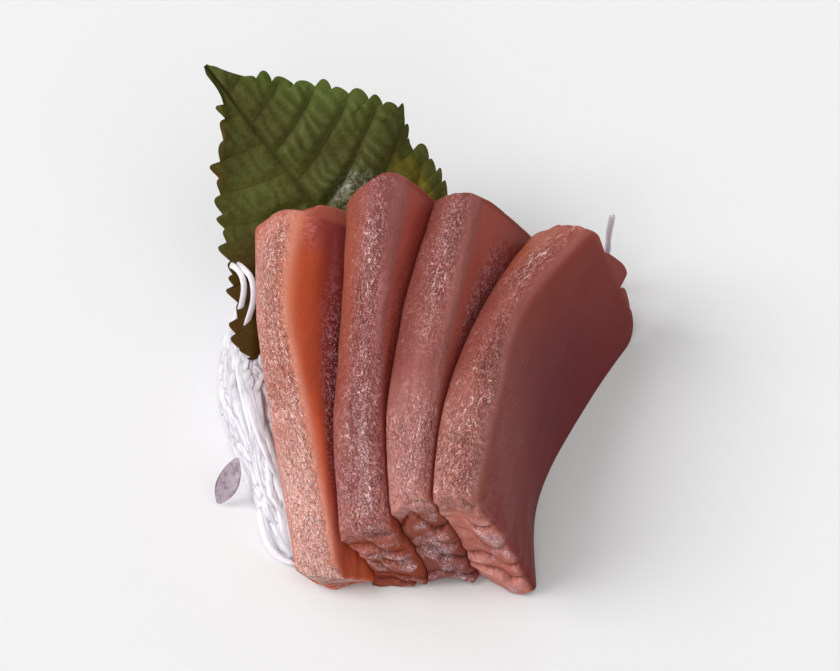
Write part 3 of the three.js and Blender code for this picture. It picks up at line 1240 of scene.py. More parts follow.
        # Painted shine along the flakes' lips and along the top edge of the front end.
        lip = 0.5 * lip_front + 0.9 * bell(height - 0.93, 0.04) * smoothstep(0.1, 0.3, across)
        skin.masks |= {
            # Painted shade in the flakes' creases, faint on the top.
            "crease": held(crease) * self.crease_shading * (1 - 0.8 * on_top),
            "wet": held(skin.masks["wet"] + lip * ends * in_front) * (1 - on_top),
            "length": y - (upright - rise),
            "layer": np.where(in_front, tone_front, tone_back),
            "height": mix(left_z, right_z, across),
            "skin": np.maximum(on_top, smoothstep(0.02, 0.3, left)),
        }
        return skin

    def paint(self, one: Slice, skin: Skin, place: tuple[Array, Array, Array],
              facing: tuple[Array, Array, Array], deep: Array) -> None:
        """Sets the masks that follow from the slice's patches and from where each point is.

        Args:
            one: the slice.
            skin: its surface.
            place: shares across and up, and place along it.
            facing: how much each point faces up, right and along the slice.
            deep: 0 at the ridge, 1 in the valley to its right.
        """
        across, height, y = place
        on_top, right, ends = facing
        patchy = 0.5 + 0.5 * noise(skin.points, (2.2, 6.0, 2.2), one.seed + Pattern.PATCHES, 3)

        def total(base: float, patches: Sequence[Patch]) -> Array:
            """Sum of a base amount on the top and some patches.

            Args:
                base: the base amount.
                patches: what is added to it.

            Returns:
                The amount at each point.
            """
            amount = base * on_top
            for patch in patches:
                top = patch.face is Face.TOP
                amount = amount + patch.cover(across if top else deep, y) * (on_top if top else right)
            return amount

        # Painted valley shade on the left part of the top, stronger towards the back.
        valley_shade = one.valley_shade * smoothstep(0.62, 0.2, across) * smoothstep(0.0, 0.2, on_top)
        valley_shade = held(valley_shade * mix(0.35, 1.0, smoothstep(15, 42, y)))
        plain = one.plain_right * smoothstep(0.74, 0.93, across) * smoothstep(26, 42, y)
        calm = (1 - 0.8 * valley_shade) * (1 - plain) * (1 - one.plain_front * smoothstep(0.3, 0.7, ends))
        at_back = y > self.shape.station
        skin.masks = {
            "end": smoothstep(0.3, 0.8, ends) * np.where(at_back, 1 - one.back_plain, 1 - on_top),
            "rim": 0.7 * smoothstep(1.5, 0.5, one.back[1] - y) * at_back * (1 - one.back_plain),
            # Painted highlight along the ridge, on the upper half of the slice.
            "ridge": bell(held(right) - 0.42, 0.3) * (ends < 0.3) * (height > 0.5),
            "deep": deep,
            "valley_shade": valley_shade,
            "fleck": held(total(one.flecks, one.fleck_patches) * (0.35 + 1.2 * patchy) * calm),
            "glint": held(total(0.0, one.glint_patches) * (0.3 + 1.4 * patchy)),
            "tint": held(total(0.0, one.tint_patches)),
            "warm": self.warmth(one, across, height, y, on_top),
            # Painted highlight, paler towards the front of the top.
            "pale": one.pale * on_top * smoothstep(32, 8, y),
            # Painted shine in patches on the ends, weaker at the back; the same mask also sets the wet
            # gloss.
            "wet": held(ends * smoothstep(0.5, 0.76, patchy)) * np.where(at_back, 0.3, 1.0),
            "girth": across * self.shape.width,
        }

    @staticmethod
    def warmth(one: Slice, across: Array, height: Array, y: Array, on_top: Array) -> Array:
        """Where the flesh turns orange: in patches on top, and by a patch on the front end.

        Args:
            one: the slice.
            across: share across.
            height: share up.
            y: place along the slice.
            on_top: how much each point faces up.

        Returns:
            The warmth of each place.
        """
        warm = np.zeros_like(y)
        for patch in one.warm_patches:
            if patch.face is Face.TOP:
                warm = warm + patch.cover(across, y) * on_top
            else:
                warm = warm + patch.cover(1 - height, y) * (1 - on_top)
        return held(warm)

    def own_box(self) -> tuple[Array, Array]:
        """Lowest and highest corners of all the slices in the working space."""
        points = np.concatenate([self.build(index).points for index in range(len(self.shape.slices))])
        return points.min(axis=0), points.max(axis=0)


def fish_slices() -> FishSlices:
    """The slices of this serving, from left to right.

    Returns:
        The sub-assembly.
    """
    # Slice 1's bright orange cut colours and its warm colour are painted glow, light shining through the
    # thin flesh.
    first = FleshFinish(
        "fish_first", skin=shade(196, 122, 108), skin_deep=shade(156, 82, 68), valley_shade=shade(168, 98, 84),
        fleck=shade(246, 198, 188), cut_lit=shade(212, 116, 76), cut=shade(198, 86, 52),
        cut_shade_and_streaks=shade(130, 44, 30), end=shade(176, 102, 86), end_deep=shade(144, 68, 50),
        ridge=shade(220, 150, 128), crease=shade(120, 40, 18), tint=shade(118, 48, 52),
        warm=shade(190, 90, 50))
    second = FleshFinish(
        "fish_second", skin=shade(158, 94, 92), fleck=shade(222, 168, 168), valley_shade=shade(112, 46, 28),
        cut=shade(176, 82, 70), cut_shade_and_streaks=shade(134, 52, 42), end=shade(132, 50, 36),
        end_deep=shade(86, 26, 18))
    third = FleshFinish(
        "fish_third", skin=shade(158, 95, 90), fleck=shade(226, 170, 164), cut=shade(164, 78, 66),
        cut_shade_and_streaks=shade(140, 62, 52), end=shade(132, 70, 62), end_deep=shade(92, 40, 34))
    fourth = FleshFinish(
        "fish_fourth", skin=shade(148, 78, 68), valley_shade=shade(104, 42, 30), cut_lit=shade(132, 58, 46),
        cut=shade(122, 46, 38), cut_shade_and_streaks=shade(112, 38, 36), end=shade(196, 124, 110),
        end_deep=shade(144, 68, 56), warm=shade(150, 74, 42))
    front_warmth = Patch(Face.TOP, (0.5, 4), (0.8, 5), 0.25)
    return FishSlices(SliceShape((
        Slice("slice_1", ridge_x=(-13.2, -18.1, -22.9, -20.8), ridge_z=(9.5, 20, 27, 28.5),
              skin_x=(-19.8, -24.3, -27.9, -29.3), skin_z=(6, 13, 18.5, 21),
              foot_x=(-8.5, -6, -1.5, 5), left_foot=(-17.5, -15.5, -11.5, -6),
              belly=(2.5, 3, 3.6, 6), crown=1.8, front=(3.5, 1.5, 3.0, 4.8), back=(64.4, 63.3, 64, 64),
              flakes=2, flake_step=0.5, flake_slant=0.3, seed=11, finish=first, slot="fish_bright",
              ridge_radius=3.2, left_radius=1.8, front_radius=2.4, back_radius=0.7, droop=0.5,
              corner_round=1.5, skin_from=0.25, skin_full=0.9, shoulder=0.8, plain_right=0.0,
              plain_front=0.1, pale=0.95, back_flakes=3, tongue=1.7, valley_shade=0.15, flecks=0.85,
              fleck_patches=(Patch(Face.TOP, (0.72, 38), (0.4, 22), 0.4),
                             Patch(Face.TOP, (0.5, 4), (0.8, 16), 0.5),
                             Patch(Face.TOP, (0.4, 63), (0.8, 5), -0.4)),
              glint_patches=(Patch(Face.RIGHT, (0.95, 33), (0.22, 16), 0.8),
                             Patch(Face.RIGHT, (0.35, 59), (0.2, 4), 0.35)),
              tint_patches=(Patch(Face.RIGHT, (1.0, 40), (0.3, 20), 0.6),
                            Patch(Face.RIGHT, (0.75, 62), (0.55, 7), 0.6)),
              # Painted glow: orange where light shines through the flesh at the front foot.
              warm_patches=(Patch(Face.RIGHT, (0.9, 3), (0.7, 12), 1.0),)),
        Slice("slice_2", ridge_x=(-4.8, -6.9, -6.0, -2.5), ridge_z=(16.5, 25, 29, 32.5),
              skin_x=(-13.3, -14.9, -14.2, -13.6), foot_x=(1.2, 2.8, 8.7, 17),
              belly=(1, 1.2, 1.6, 2.4), crown=2.4, dome=2.2, front=(5.5, 3, 4.6, 4.2),
              back=(64.5, 66, 65, 66), flakes=5, flake_step=1.3, flake_slant=-0.5, seed=23,
              finish=second, slot="fish", droop=0.06, front_radius=1.4, side_radius=1.6, pale=0.15,
              fleck_patches=(Patch(Face.TOP, (0.66, 34), (0.36, 30), 0.8),
                             Patch(Face.TOP, (0.5, 8), (0.7, 12), 0.6)),
              glint_patches=(Patch(Face.RIGHT, (0.75, 36), (0.3, 14), 0.2),),
              warm_patches=(Patch(Face.TOP, (0.12, 48), (0.3, 22), 0.5),
                            Patch(Face.RIGHT, (0.5, 4), (0.8, 9), 0.4), front_warmth)),
        Slice("slice_3", ridge_x=(0.4, 2.7, 6.1, 9.9), ridge_z=(24.5, 27, 28.5, 29),
              skin_x=(-4.9, -6.1, -3.4, 2.0), foot_x=(9.6, 11.4, 19, 29),
              belly=(0.6, 1, 1, 1.6), crown=1.5, front=(6.0, 3.8, 4.3, 5.6), back=(65, 66, 65, 66.5),
              flakes=5, flake_step=1.25, flake_slant=-0.4, seed=37, finish=third, slot="fish",
              front_radius=1.2, side_radius=1.6, pale=0.5,
              fleck_patches=(Patch(Face.TOP, (0.72, 52), (0.36, 15), 0.6),
                             Patch(Face.TOP, (0.5, 11), (0.7, 12), 0.8),
                             Patch(Face.TOP, (0.5, 27), (0.6, 5), -0.25)),
              glint_patches=(Patch(Face.RIGHT, (0.8, 48), (0.3, 12), 0.7),),
              warm_patches=(Patch(Face.TOP, (0.1, 12), (0.3, 12), 0.3),
                            Patch(Face.RIGHT, (0.2, 4), (0.5, 7), 0.4), front_warmth)),
        Slice("slice_4", ridge_x=(8.6, 12.9, 18.4, 34.5), ridge_z=(25, 27, 27, 27),
              skin_x=(0.9, 3.2, 9.2, 18.5), foot_x=(19.3, 19.9, 29.2, 42),
              belly=(0.5, 0.6, 0.6, 0.4), crown=1.9, dome=0.6, front=(4.2, 2.2, 5.8, 2.0),
              back=(64.5, 60, 60, 59.5), flakes=5, flake_step=1.3, flake_slant=0.3, seed=53,
              front_radius=1.2, side_radius=2.6, pale=0.45, skin_from=0.15, skin_full=0.7,
              finish=fourth, slot="fish", back_flakes=4, back_step=2.3, back_lobe=2.2,
              heel_round=3.2, back_plain=0.75,
              fleck_patches=(Patch(Face.TOP, (0.5, 9), (0.7, 13), 0.8),
                             Patch(Face.TOP, (0.75, 30), (0.3, 12), 0.5),
                             Patch(Face.TOP, (0.5, 51), (0.3, 6), 0.6)),
              glint_patches=(Patch(Face.RIGHT, (0.15, 14), (0.35, 22), 0.1),),
              tint_patches=(Patch(Face.RIGHT, (0.62, 38), (0.36, 14), 0.6),),
              warm_patches=(Patch(Face.TOP, (0.15, 58), (0.5, 7), 0.6), front_warmth)),
    )))


# ------------------------------------------------------------------ shiso leaf


class LeafPattern(IntEnum):
    """Seeds of the leaf's noise patterns."""

    PATCHES = 5
    GRAIN = 9
    WOBBLE = 21
    RUNGS = 25


class Side(Enum):
    """Half of the leaf's blade, looking from its stalk to its tip."""

    LEFT = -1
    RIGHT = 1


@dataclass
class ShisoLeaf:
    """The leaf behind the slices, with its teeth, veins and puckered blade."""

    length: float = 59.0
    start: float = 0.004
    end: float = 0.9
    tip_x: float = -37.0
    tip_rise: float = 52.0
    midrib: float = 37.9
    left_width: float = 0.36
    right_width: float = 0.35
    tooth_pitch: float = 2.45
    left_tooth_depth: float = 0.95
    tooth_depth: float = 1.35
    tooth_lean: float = 0.9
    thickness: float = 0.45
    foot_y: float = 45.0
    foot_z: float = 11.0
    bend_rise: float = 20.0
    gentle: float = 14.0
    steep: float = 44.0
    tuck_rise: float = 26.0
    tuck_fade: float = 15.0
    tuck_floor: float = 2.5
    vein_pitch: float = 6.5
    vein_lean: float = 0.25
    vein_curve: float = 0.011
    ladder_pitch: float = 2.1
    pucker: float = 0.65
    ladder_pucker: float = 0.42
    vein_width: float = 0.2
    quilt_groove: float = 1.1
    rung_groove: float = 0.5
    gloss_sheen_place: Sequence[float] = (7.0, 33.5)
    gloss_sheen_reach: Sequence[float] = (4.2, 3.4)
    left_vein_shift: float = 0.4
    left_firmness: float = 0.55
    grain: float = 0.08
    wave: float = 0.9
    fold_drop: float = 2.6
    midrib_dip: float = 0.25
    across_steps: int = 132
    along_steps: int = 330
    finish: LeafFinish = LeafFinish("leaf_green")

    def half_width(self, share: Array, side: Side) -> Array:
        """Half width of the blade without its teeth.

        Args:
            share: place along the leaf from its tip.
            side: which half.

        Returns:
            The width in millimetres.
        """
        if side is Side.LEFT:
            swell = np.maximum(np.sin(math.pi * share ** 1.94), 0) ** 0.54
            base = self.length * self.left_width * swell * smoothstep(0.06, 0.3, share)
            narrow = smoothstep(0.16, 0.3, share) * smoothstep(0.66, 0.5, share)
            wide = 0.7 * smoothstep(0.0, 0.03, share) + 4.5 * smoothstep(0.62, 0.75, share)
            return base + wide - 1.2 * narrow
        slow = np.where(share < 0.45, share, 0.45 + (share - 0.45) * 0.55)
        close = quarter((share - 0.85) / 0.15)
        corner = 1.3 * bell(share - 0.45, 0.03) - 1.9 * bell(share - 0.56, 0.03)
        base = self.length * self.right_width * np.sin(math.pi * slow) ** 1.46 * close
        return base + 0.9 * smoothstep(0.0, 0.03, share) * smoothstep(0.2, 0.05, share) + corner

    def tooth(self, share: Array) -> Array:
        """Height of the rounded teeth, each steeper towards the leaf's tip.

        Args:
            share: place along the leaf from its tip.

        Returns:
            The height, from 0 to about 1.
        """
        place = share * self.length / self.tooth_pitch
        place = place + 0.12 * np.sin(place * 1.9)
        lobe = np.maximum(np.sin(math.pi * (place % 1.0) ** 0.6), 0) ** 0.62
        uneven = 0.85 + 0.3 * np.sin(np.floor(place) * 2.4)
        return lobe * uneven * smoothstep(0.095, 0.13, share)

    def on_slope(self, rise: Union[float, Array]) -> tuple[Array, Array]:
        """Places on the slope that the leaf lies along, gentle at first and then steep.

        Args:
            rise: distance up the slope.

        Returns:
            Y and Z of the places.
        """
        gentle, steep = math.radians(self.gentle), math.radians(self.steep)
        low, high = np.minimum(rise, self.bend_rise), np.maximum(rise - self.bend_rise, 0)
        return (self.foot_y + low * math.cos(gentle) + high * math.cos(steep),
                self.foot_z + low * math.sin(gentle) + high * math.sin(steep))

    def lie(self, x: Array, rise: Array) -> tuple[Array, Array]:
        """Where the leaf lies: up the slope, with its stalk end tucked down behind the slices.

        Args:
            x: sideways place.
            rise: distance up the slope.

        Returns:
            Y and Z of the places.
        """
        y, z = self.on_slope(rise)
        tuck_y, tuck_z = self.on_slope(self.tuck_rise)
        fall = fade(np.maximum(self.tuck_rise - rise, 0), self.tuck_fade)
        behind = smoothstep(-29, -17, x) * (rise < self.tuck_rise)
        return mix(y, tuck_y, behind), mix(z, self.tuck_floor + (tuck_z - self.tuck_floor) * fall, behind)

    def build(self) -> Skin:
        """Shapes the leaf.

        Returns:
            Its surface, with the masks that its finish reads.
        """
        eased = np.linspace(-1, 1, self.across_steps + 1)
        across = 0.5 + 0.5 * np.sign(eased) * np.abs(eased) ** 0.9
        shares, faces = Block(across, np.array([0.0, 1.0]), np.linspace(0, 1, self.along_steps + 1)).lay()
        share = mix(self.end, self.start, shares[:, 2])
        left = shares[:, 0] < 0.5
        side = np.where(left, -1.0, 1.0)
        reach = np.abs(shares[:, 0] - 0.5) * 2
        half = np.where(left, self.half_width(share, Side.LEFT), self.half_width(share, Side.RIGHT)) + 0.5
        lobe = np.where(left, self.tooth(share) ** 2, self.tooth(share)) * reach ** 6
        depth = np.where(left, self.left_tooth_depth, self.tooth_depth)
        off = side * (reach * half + depth * (lobe - 0.5 * reach ** 6))
        down = share * self.length - self.tooth_lean * lobe
        axis = math.radians(self.midrib)
        x = self.tip_x + down * math.sin(axis) + off * math.cos(axis)
        rise = self.tip_rise - down * math.cos(axis) + off * math.sin(axis)
        y, z = self.lie(x, rise)

        flat = np.stack([off, down, np.zeros_like(off)], axis=1)
        wobble = 0.5 * noise(flat, 7.0, LeafPattern.WOBBLE)
        vein_place = down + np.abs(off) * self.vein_lean + self.vein_curve * off ** 2 + wobble
        vein_place = vein_place / self.vein_pitch + np.where(left, self.left_vein_shift, 0.0)
        from_vein = from_line(vein_place, self.vein_pitch)
        ladder = np.abs(off) / self.ladder_pitch + 0.5 * np.floor(vein_place)
        ladder = ladder + 0.35 * noise(flat, 2.5, LeafPattern.RUNGS)
        from_rung = from_line(ladder, self.ladder_pitch)
        midrib = bell(off, mix(0.6, 0.3, 1 - share))
        branch = bell(from_vein, self.vein_width) * smoothstep(1.0, 0.8, reach)
        inner = smoothstep(0.0, 0.1, np.abs(off) / np.maximum(half, 1)) * smoothstep(1.0, 0.85, reach)
        firm = np.where(left, self.left_firmness, 1.0)
        quilt = 1 - bell(from_vein, self.quilt_groove)
        rungs = 1 - bell(from_rung, self.rung_groove)
        patchy = 0.75 + 0.5 * noise(flat, 5.0, LeafPattern.PATCHES)
        # Crests of the puckers, which get a painted highlight.
        lit_crest = quilt * rungs * inner * patchy
        swollen = (self.pucker * quilt + self.ladder_pucker * rungs * quilt) * inner * patchy * firm
        fine = self.grain * noise(flat, 1.2, LeafPattern.GRAIN, 2)
        wave = self.wave * np.sin(down * 0.23 + off * 0.16) * smoothstep(0.35, 1.0, reach)
        fold = smoothstep(0.60, 0.84, reach) * smoothstep(0.44, 0.54, share) * (side > 0)
        lift = swollen + fine + wave - self.midrib_dip * midrib
        lift = lift - self.fold_drop * fold * smoothstep(0.6, 1.0, reach)
        lift = lift * smoothstep(-2, 8, rise - self.bend_rise)
        steep = math.radians(self.steep)
        lift = lift + (shares[:, 1] - 0.5) * self.thickness
        points = np.stack([x, y - lift * math.sin(steep), z + lift * math.cos(steep)], axis=1)
        rusty = smoothstep(0.55, 1.0, reach) * smoothstep(0.08, 0.2, share) * smoothstep(0.42, 0.25, share)
        rusty = np.maximum(rusty, 1.7 * smoothstep(0.3, 0.8, reach) * smoothstep(0.42, 0.58, share))
        # Glossy patch of the blade, which gets painted sheen as well as real gloss.
        spot = np.hypot((off - self.gloss_sheen_place[0]) / self.gloss_sheen_reach[0],
                        (down - self.gloss_sheen_place[1]) / self.gloss_sheen_reach[1])
        band = fold * smoothstep(0.93, 0.8, reach) * smoothstep(0.5, 0.6, share)
        vein = np.maximum(branch * firm, midrib * 0.9) + 0.35 * (1 - rungs) * inner * firm
        return Skin(points, faces, {
            "vein": held(vein),
            "lit_crest": held(lit_crest * firm),
            "bright": np.where(left, 0.2, 1.0) * smoothstep(0.3, 1.0, reach) * smoothstep(0.5, 0.3, share),
            "rim": rusty * left,
            "folded": band,
            "gloss_sheen": np.exp(-spot ** 4),
        })


# ------------------------------------------------------------------ daikon


@dataclass
class DaikonHeap:
    """Heap of radish threads over a smaller core."""

    spine_x: Sequence[float] = (-20, -24, -27.8, -28.5, -26.6, -26.5, -19, -8, 7)
    spine_y: Sequence[float] = (9.5, 22, 38, 50, 61, 70, 77, 78.5, 76.5)
    half: Sequence[float] = (2.8, 3.6, 5.4, 6.0, 4.8, 4.6, 5.6, 6.4, 4.0)
    height: Sequence[float] = (4.5, 7.5, 10.5, 11, 10.5, 11.5, 14, 15, 7)
    core_share: float = 0.92
    core_rings: int = 150
    core_around: int = 40
    core_relief: float = 0.55
    threads: int = 260
    thread_rings: int = 26
    thread_sides: int = 10
    thread_width: float = 1.7
    width_shares: Sequence[float] = (0.5, 1.2)
    spans: Sequence[float] = (0.08, 0.26)
    angles: Sequence[float] = (0.1, 2.4)
    sweeps: Sequence[float] = (-0.7, 0.7)
    waves: Sequence[float] = (0.05, 0.3)
    wave_turns: Sequence[float] = (0.4, 1.2)
    depths: Sequence[float] = (0.92, 0.97)
    depth_turns: Sequence[float] = (0.6, 1.6)
    twists: Sequence[float] = (-0.12, 0.12)
    tints: Sequence[float] = (0.0, 0.7)
    laid_width: float = 1.1
    laid_facing: Sequence[float] = (-0.3, -0.5, 0.8)
    laid_twist: float = 0.15
    laid_tint: float = 0.3
    laid_rings: int = 40
    seed: int = 71
    over_leaf: Sequence[Sequence[Sequence[float]]] = (
        ((-33.5, 64.2, 12), (-32.3, 61.2, 15.6), (-30.8, 58.7, 16.6), (-30.1, 56.4, 16.2),
         (-30.3, 54.6, 14.4), (-31.2, 52.6, 12), (-32.6, 50.5, 9.6)),
        ((-32.0, 63.0, 14), (-30.6, 60.0, 16.6), (-28.8, 57.0, 17.0), (-28.4, 53.9, 15.4),
         (-29.3, 51.4, 12.9), (-30.8, 48.0, 10.6)),
        ((-27.0, 18.0, 3.2), (-26.3, 14.6, 2.4), (-25.2, 11.8, 1.3), (-23.2, 9.6, 0.8), (-20.6, 8.2, 0.8)))
    finish: RadishFinish = RadishFinish("radish_thread", tint_share=0.3)
    core_finish: RadishFinish = RadishFinish("radish_core", tint_share=0.55)

    @staticmethod
    def on_spine(knots: Sequence[float], place: Array) -> tuple[Array, Array]:
        """One coordinate of the heap's middle line.

        Args:
            knots: the coordinate at each station.
            place: places counted in stations.

        Returns:
            The coordinate at each place, and how fast it grows there.
        """
        step = 0.01
        growth = along_stations(knots, place + step, 1.0) - along_stations(knots, place - step, 1.0)
        return along_stations(knots, place, 1.0), growth

    def surface(self, t: Array, angle: Array, share: Union[float, Array]) -> Array:
        """Places on the heap's half-round outline.

        Args:
            t: place along the spine, from 0 to 1.
            angle: 0 at the left foot, pi at the right foot.
            share: 1 on the outline, less inside it.

        Returns:
            One row for each place.
        """
        last = len(self.spine_x) - 1
        place = held(t) * last
        x, ahead_x = self.on_spine(self.spine_x, place)
        y, ahead_y = self.on_spine(self.spine_y, place)
        length = np.maximum(np.hypot(ahead_x, ahead_y), 1e-9)
        taper = np.sqrt(held(1 - (2 * t - 1) ** 10)) * 0.92 + 0.08
        out = -np.cos(angle) * along_stations(self.half, place, 1.0) * taper * share
        up = np.maximum(np.sin(angle), 0) ** 0.8 * along_stations(self.height, place, 1.0) * taper * share
        return np.stack([x + ahead_y / length * out, y - ahead_x / length * out, up], axis=-1)

    def build_core(self) -> Skin:
        """Shapes the core, with the threads' relief on it.

        Returns:
            Its surface.
        """
        t = np.linspace(0, 1, self.core_rings)
        angle = np.linspace(0, math.pi, self.core_around)
        grid_t, grid_angle = np.meshgrid(t, angle, indexing="ij")
        points = self.surface(grid_t.ravel(), grid_angle.ravel(), self.core_share)
        relief = self.core_relief * noise(points, (1.6, 3.4, 1.6), self.seed, 2)
        relief = relief * smoothstep(0.3, 2.0, points[:, 2])
        points = points + relief[:, None] * np.array([0.6, 0.2, 0.7])
        points[:, 2] = np.maximum(points[:, 2], 0.0)
        number = np.arange(len(points)).reshape(self.core_rings, self.core_around)
        faces = capped_rings(number, (len(points), len(points) + 1))
        points = np.concatenate([points, [points[ring].mean(axis=0) for ring in (number[0], number[-1])]])
        tone = 0.5 + 0.5 * noise(points, 3.0, self.seed + 2, 2)
        return Skin(points, faces, {"tone": tone, "rim": smoothstep(0.45, 0.9, tone) * 0.6})

    def thread(self, rng: np.random.Generator) -> Skin:
        """One thread that winds over the heap.

        Args:
            rng: source of the thread's uneven shape.

        Returns:
            Its surface.
        """
        start = rng.uniform(0.0, 1.0)
        span = rng.uniform(*self.spans) * rng.choice((-1, 1))
        angle = rng.uniform(*self.angles)
        s = np.linspace(0, 1, self.thread_rings)
        t = np.clip(start + span * s, 0.005, 0.995)
        sweep = rng.uniform(*self.sweeps) * s + rng.uniform(*self.waves) * np.sin(
            2 * math.pi * (rng.uniform(*self.wave_turns) * s + rng.uniform()))
        share = rng.uniform(*self.depths) + 0.02 * np.sin(
            2 * math.pi * (rng.uniform(*self.depth_turns) * s + rng.uniform()))
        bend = np.clip(angle + sweep, 0.06, 2.95)
        path = self.surface(t, bend, share)
        outward = self.surface(t, bend, 1.0) - self.surface(t, bend, 0.5)
        width = self.thread_width * rng.uniform(*self.width_shares)
        path[:, 2] = np.maximum(path[:, 2], 0.55 * width)
        return self.ribbon(path, width, outward, rng.uniform(*self.twists), rng.uniform(*self.tints))

    def ribbon(self, path: Array, width: float, outward: Sequence[float], twist: float,
               tone: float) -> Skin:
        """Flattened thread with translucent edges.

        Args:
            path: one row for each ring's centre.
            width: its full width.
            outward: direction that its flat side faces, or one for each ring.
            twist: its turns from end to end.
            tone: how tinted it is.

        Returns:
            Its surface.
        """
        s = np.linspace(0, 1, len(path))
        taper = np.minimum(1, np.minimum(s, 1 - s) * 9 + 0.3)
        sides = self.thread_sides
        made = tube(path, width * taper, np.minimum(0.6, 0.4 * width) * taper, sides, twist, outward)
        around = np.abs(np.cos(2 * math.pi * (np.arange(sides) + 0.5) / sides))
        edge = np.concatenate([np.tile(0.5 * around ** 4, len(path)), [0.5, 0.5]])
        made.masks = {"tone": np.full(len(made.points), tone), "rim": edge}
        return made

    def build_threads(self) -> Skin:
        """Shapes all the threads as one surface.

        Returns:
            The joined surface.
        """
        rng = np.random.default_rng(self.seed)
        laid = [self.thread(rng) for _ in range(self.threads)]
        for knots in self.over_leaf:
            path = smooth_path(np.array(knots, float), self.laid_rings)
            laid.append(self.ribbon(path, self.laid_width, self.laid_facing, self.laid_twist,
                                    self.laid_tint))
        return join(laid)


@dataclass
class DaikonStrand:
    """Single tapered thread that stands up behind the last slice."""

    knots: Sequence[Sequence[float]] = (
        (11, 72, 1.1), (22, 71, 1.2), (29.8, 70, 3.2), (32.4, 69.3, 9), (32.7, 69.1, 15), (33.2, 69, 20.2))
    root: float = 1.3
    tip: float = 1.1
    blunt_from: float = 0.97
    blunt_reach: float = 0.032
    flatness: float = 0.7
    twist: float = 0.1
    rings: int = 60
    sides: int = 8
    # Greyer than the other radish: painted shade, where the strand stands in shade behind the last slice.
    finish: RadishFinish = RadishFinish("radish_strand", flesh=shade(196, 188, 194),
                                        tint=shade(170, 160, 172))

    def build(self) -> Skin:
        """Shapes the thread.

        Returns:
            Its surface.
        """
        path = smooth_path(np.array(self.knots, float), self.rings)
        s = np.linspace(0, 1, self.rings)
        width = mix(self.root, self.tip, s) * quarter((s - self.blunt_from) / self.blunt_reach)
        made = tube(path, width, width * self.flatness, self.sides, self.twist)
        made.masks = {"tone": np.full(len(made.points), 0.5), "rim": np.zeros(len(made.points))}
        return made


@dataclass
class DaikonCurl:
    """Small pointed slip of radish at the lower left, leaning on the heap."""

    foot: Sequence[float] = (-33.9, 21, 0.8)
    tip: Sequence[float] = (-30.6, 25.4, 7.6)
    width: float = 3.8
    thickness: float = 0.7
    bow: float = 0.8
    cup: float = 0.5
    rings: int = 60
    around: int = 40
    # Greyer and darker than the other radish, with a darker rim: painted shade, as the slip lies in shade
    # at the heap's foot.
    finish: RadishFinish = RadishFinish("radish_curl", flesh=shade(186, 168, 178), mottle=0.9,
                                        tint=shade(132, 116, 128), deep=shade(84, 70, 84), glow=0.15)

    def build(self) -> Skin:
        """Shapes the slip.

        Returns:
            Its surface.
        """
        foot, tip = np.array(self.foot, float), np.array(self.tip, float)
        ahead = tip - foot
        out = unit(np.cross(np.array([1.0, 0.0, 0.0]), ahead))
        sideways = unit(np.cross(out, ahead))
        t = np.linspace(0, 1, self.rings)
        angle = 2 * math.pi * np.arange(self.around) / self.around
        swell = np.sin(math.pi * (0.03 + 0.94 * t)) ** 0.8
        centre = foot + ahead * t[:, None] + out * (self.bow * np.sin(math.pi * t))[:, None]
        reach = np.cos(angle)[None, :] * swell[:, None]
        rise = self.thickness / 2 * np.sin(angle)[None, :] * swell[:, None] + self.cup * reach ** 2
        rings = (centre[:, None, :] + sideways * (self.width / 2 * reach)[:, :, None]
                 + out * rise[:, :, None])
        points = np.concatenate([rings.reshape(-1, 3), centre[:1], centre[-1:]])
        count = self.rings * self.around
        faces = capped_rings(np.arange(count).reshape(self.rings, self.around), (count, count + 1))
        edge = np.abs(reach).ravel() / np.maximum(np.repeat(swell, self.around), 1e-6)
        rim = smoothstep(0.8, 1.0, edge * (0.4 + 0.6 * np.repeat(swell, self.around) ** 0.2))
        rim = np.concatenate([rim, [1.0, 1.0]])
        return Skin(points, faces, {"tone": np.full(len(points), 0.5), "rim": rim})


# ------------------------------------------------------------------ stage, light and camera


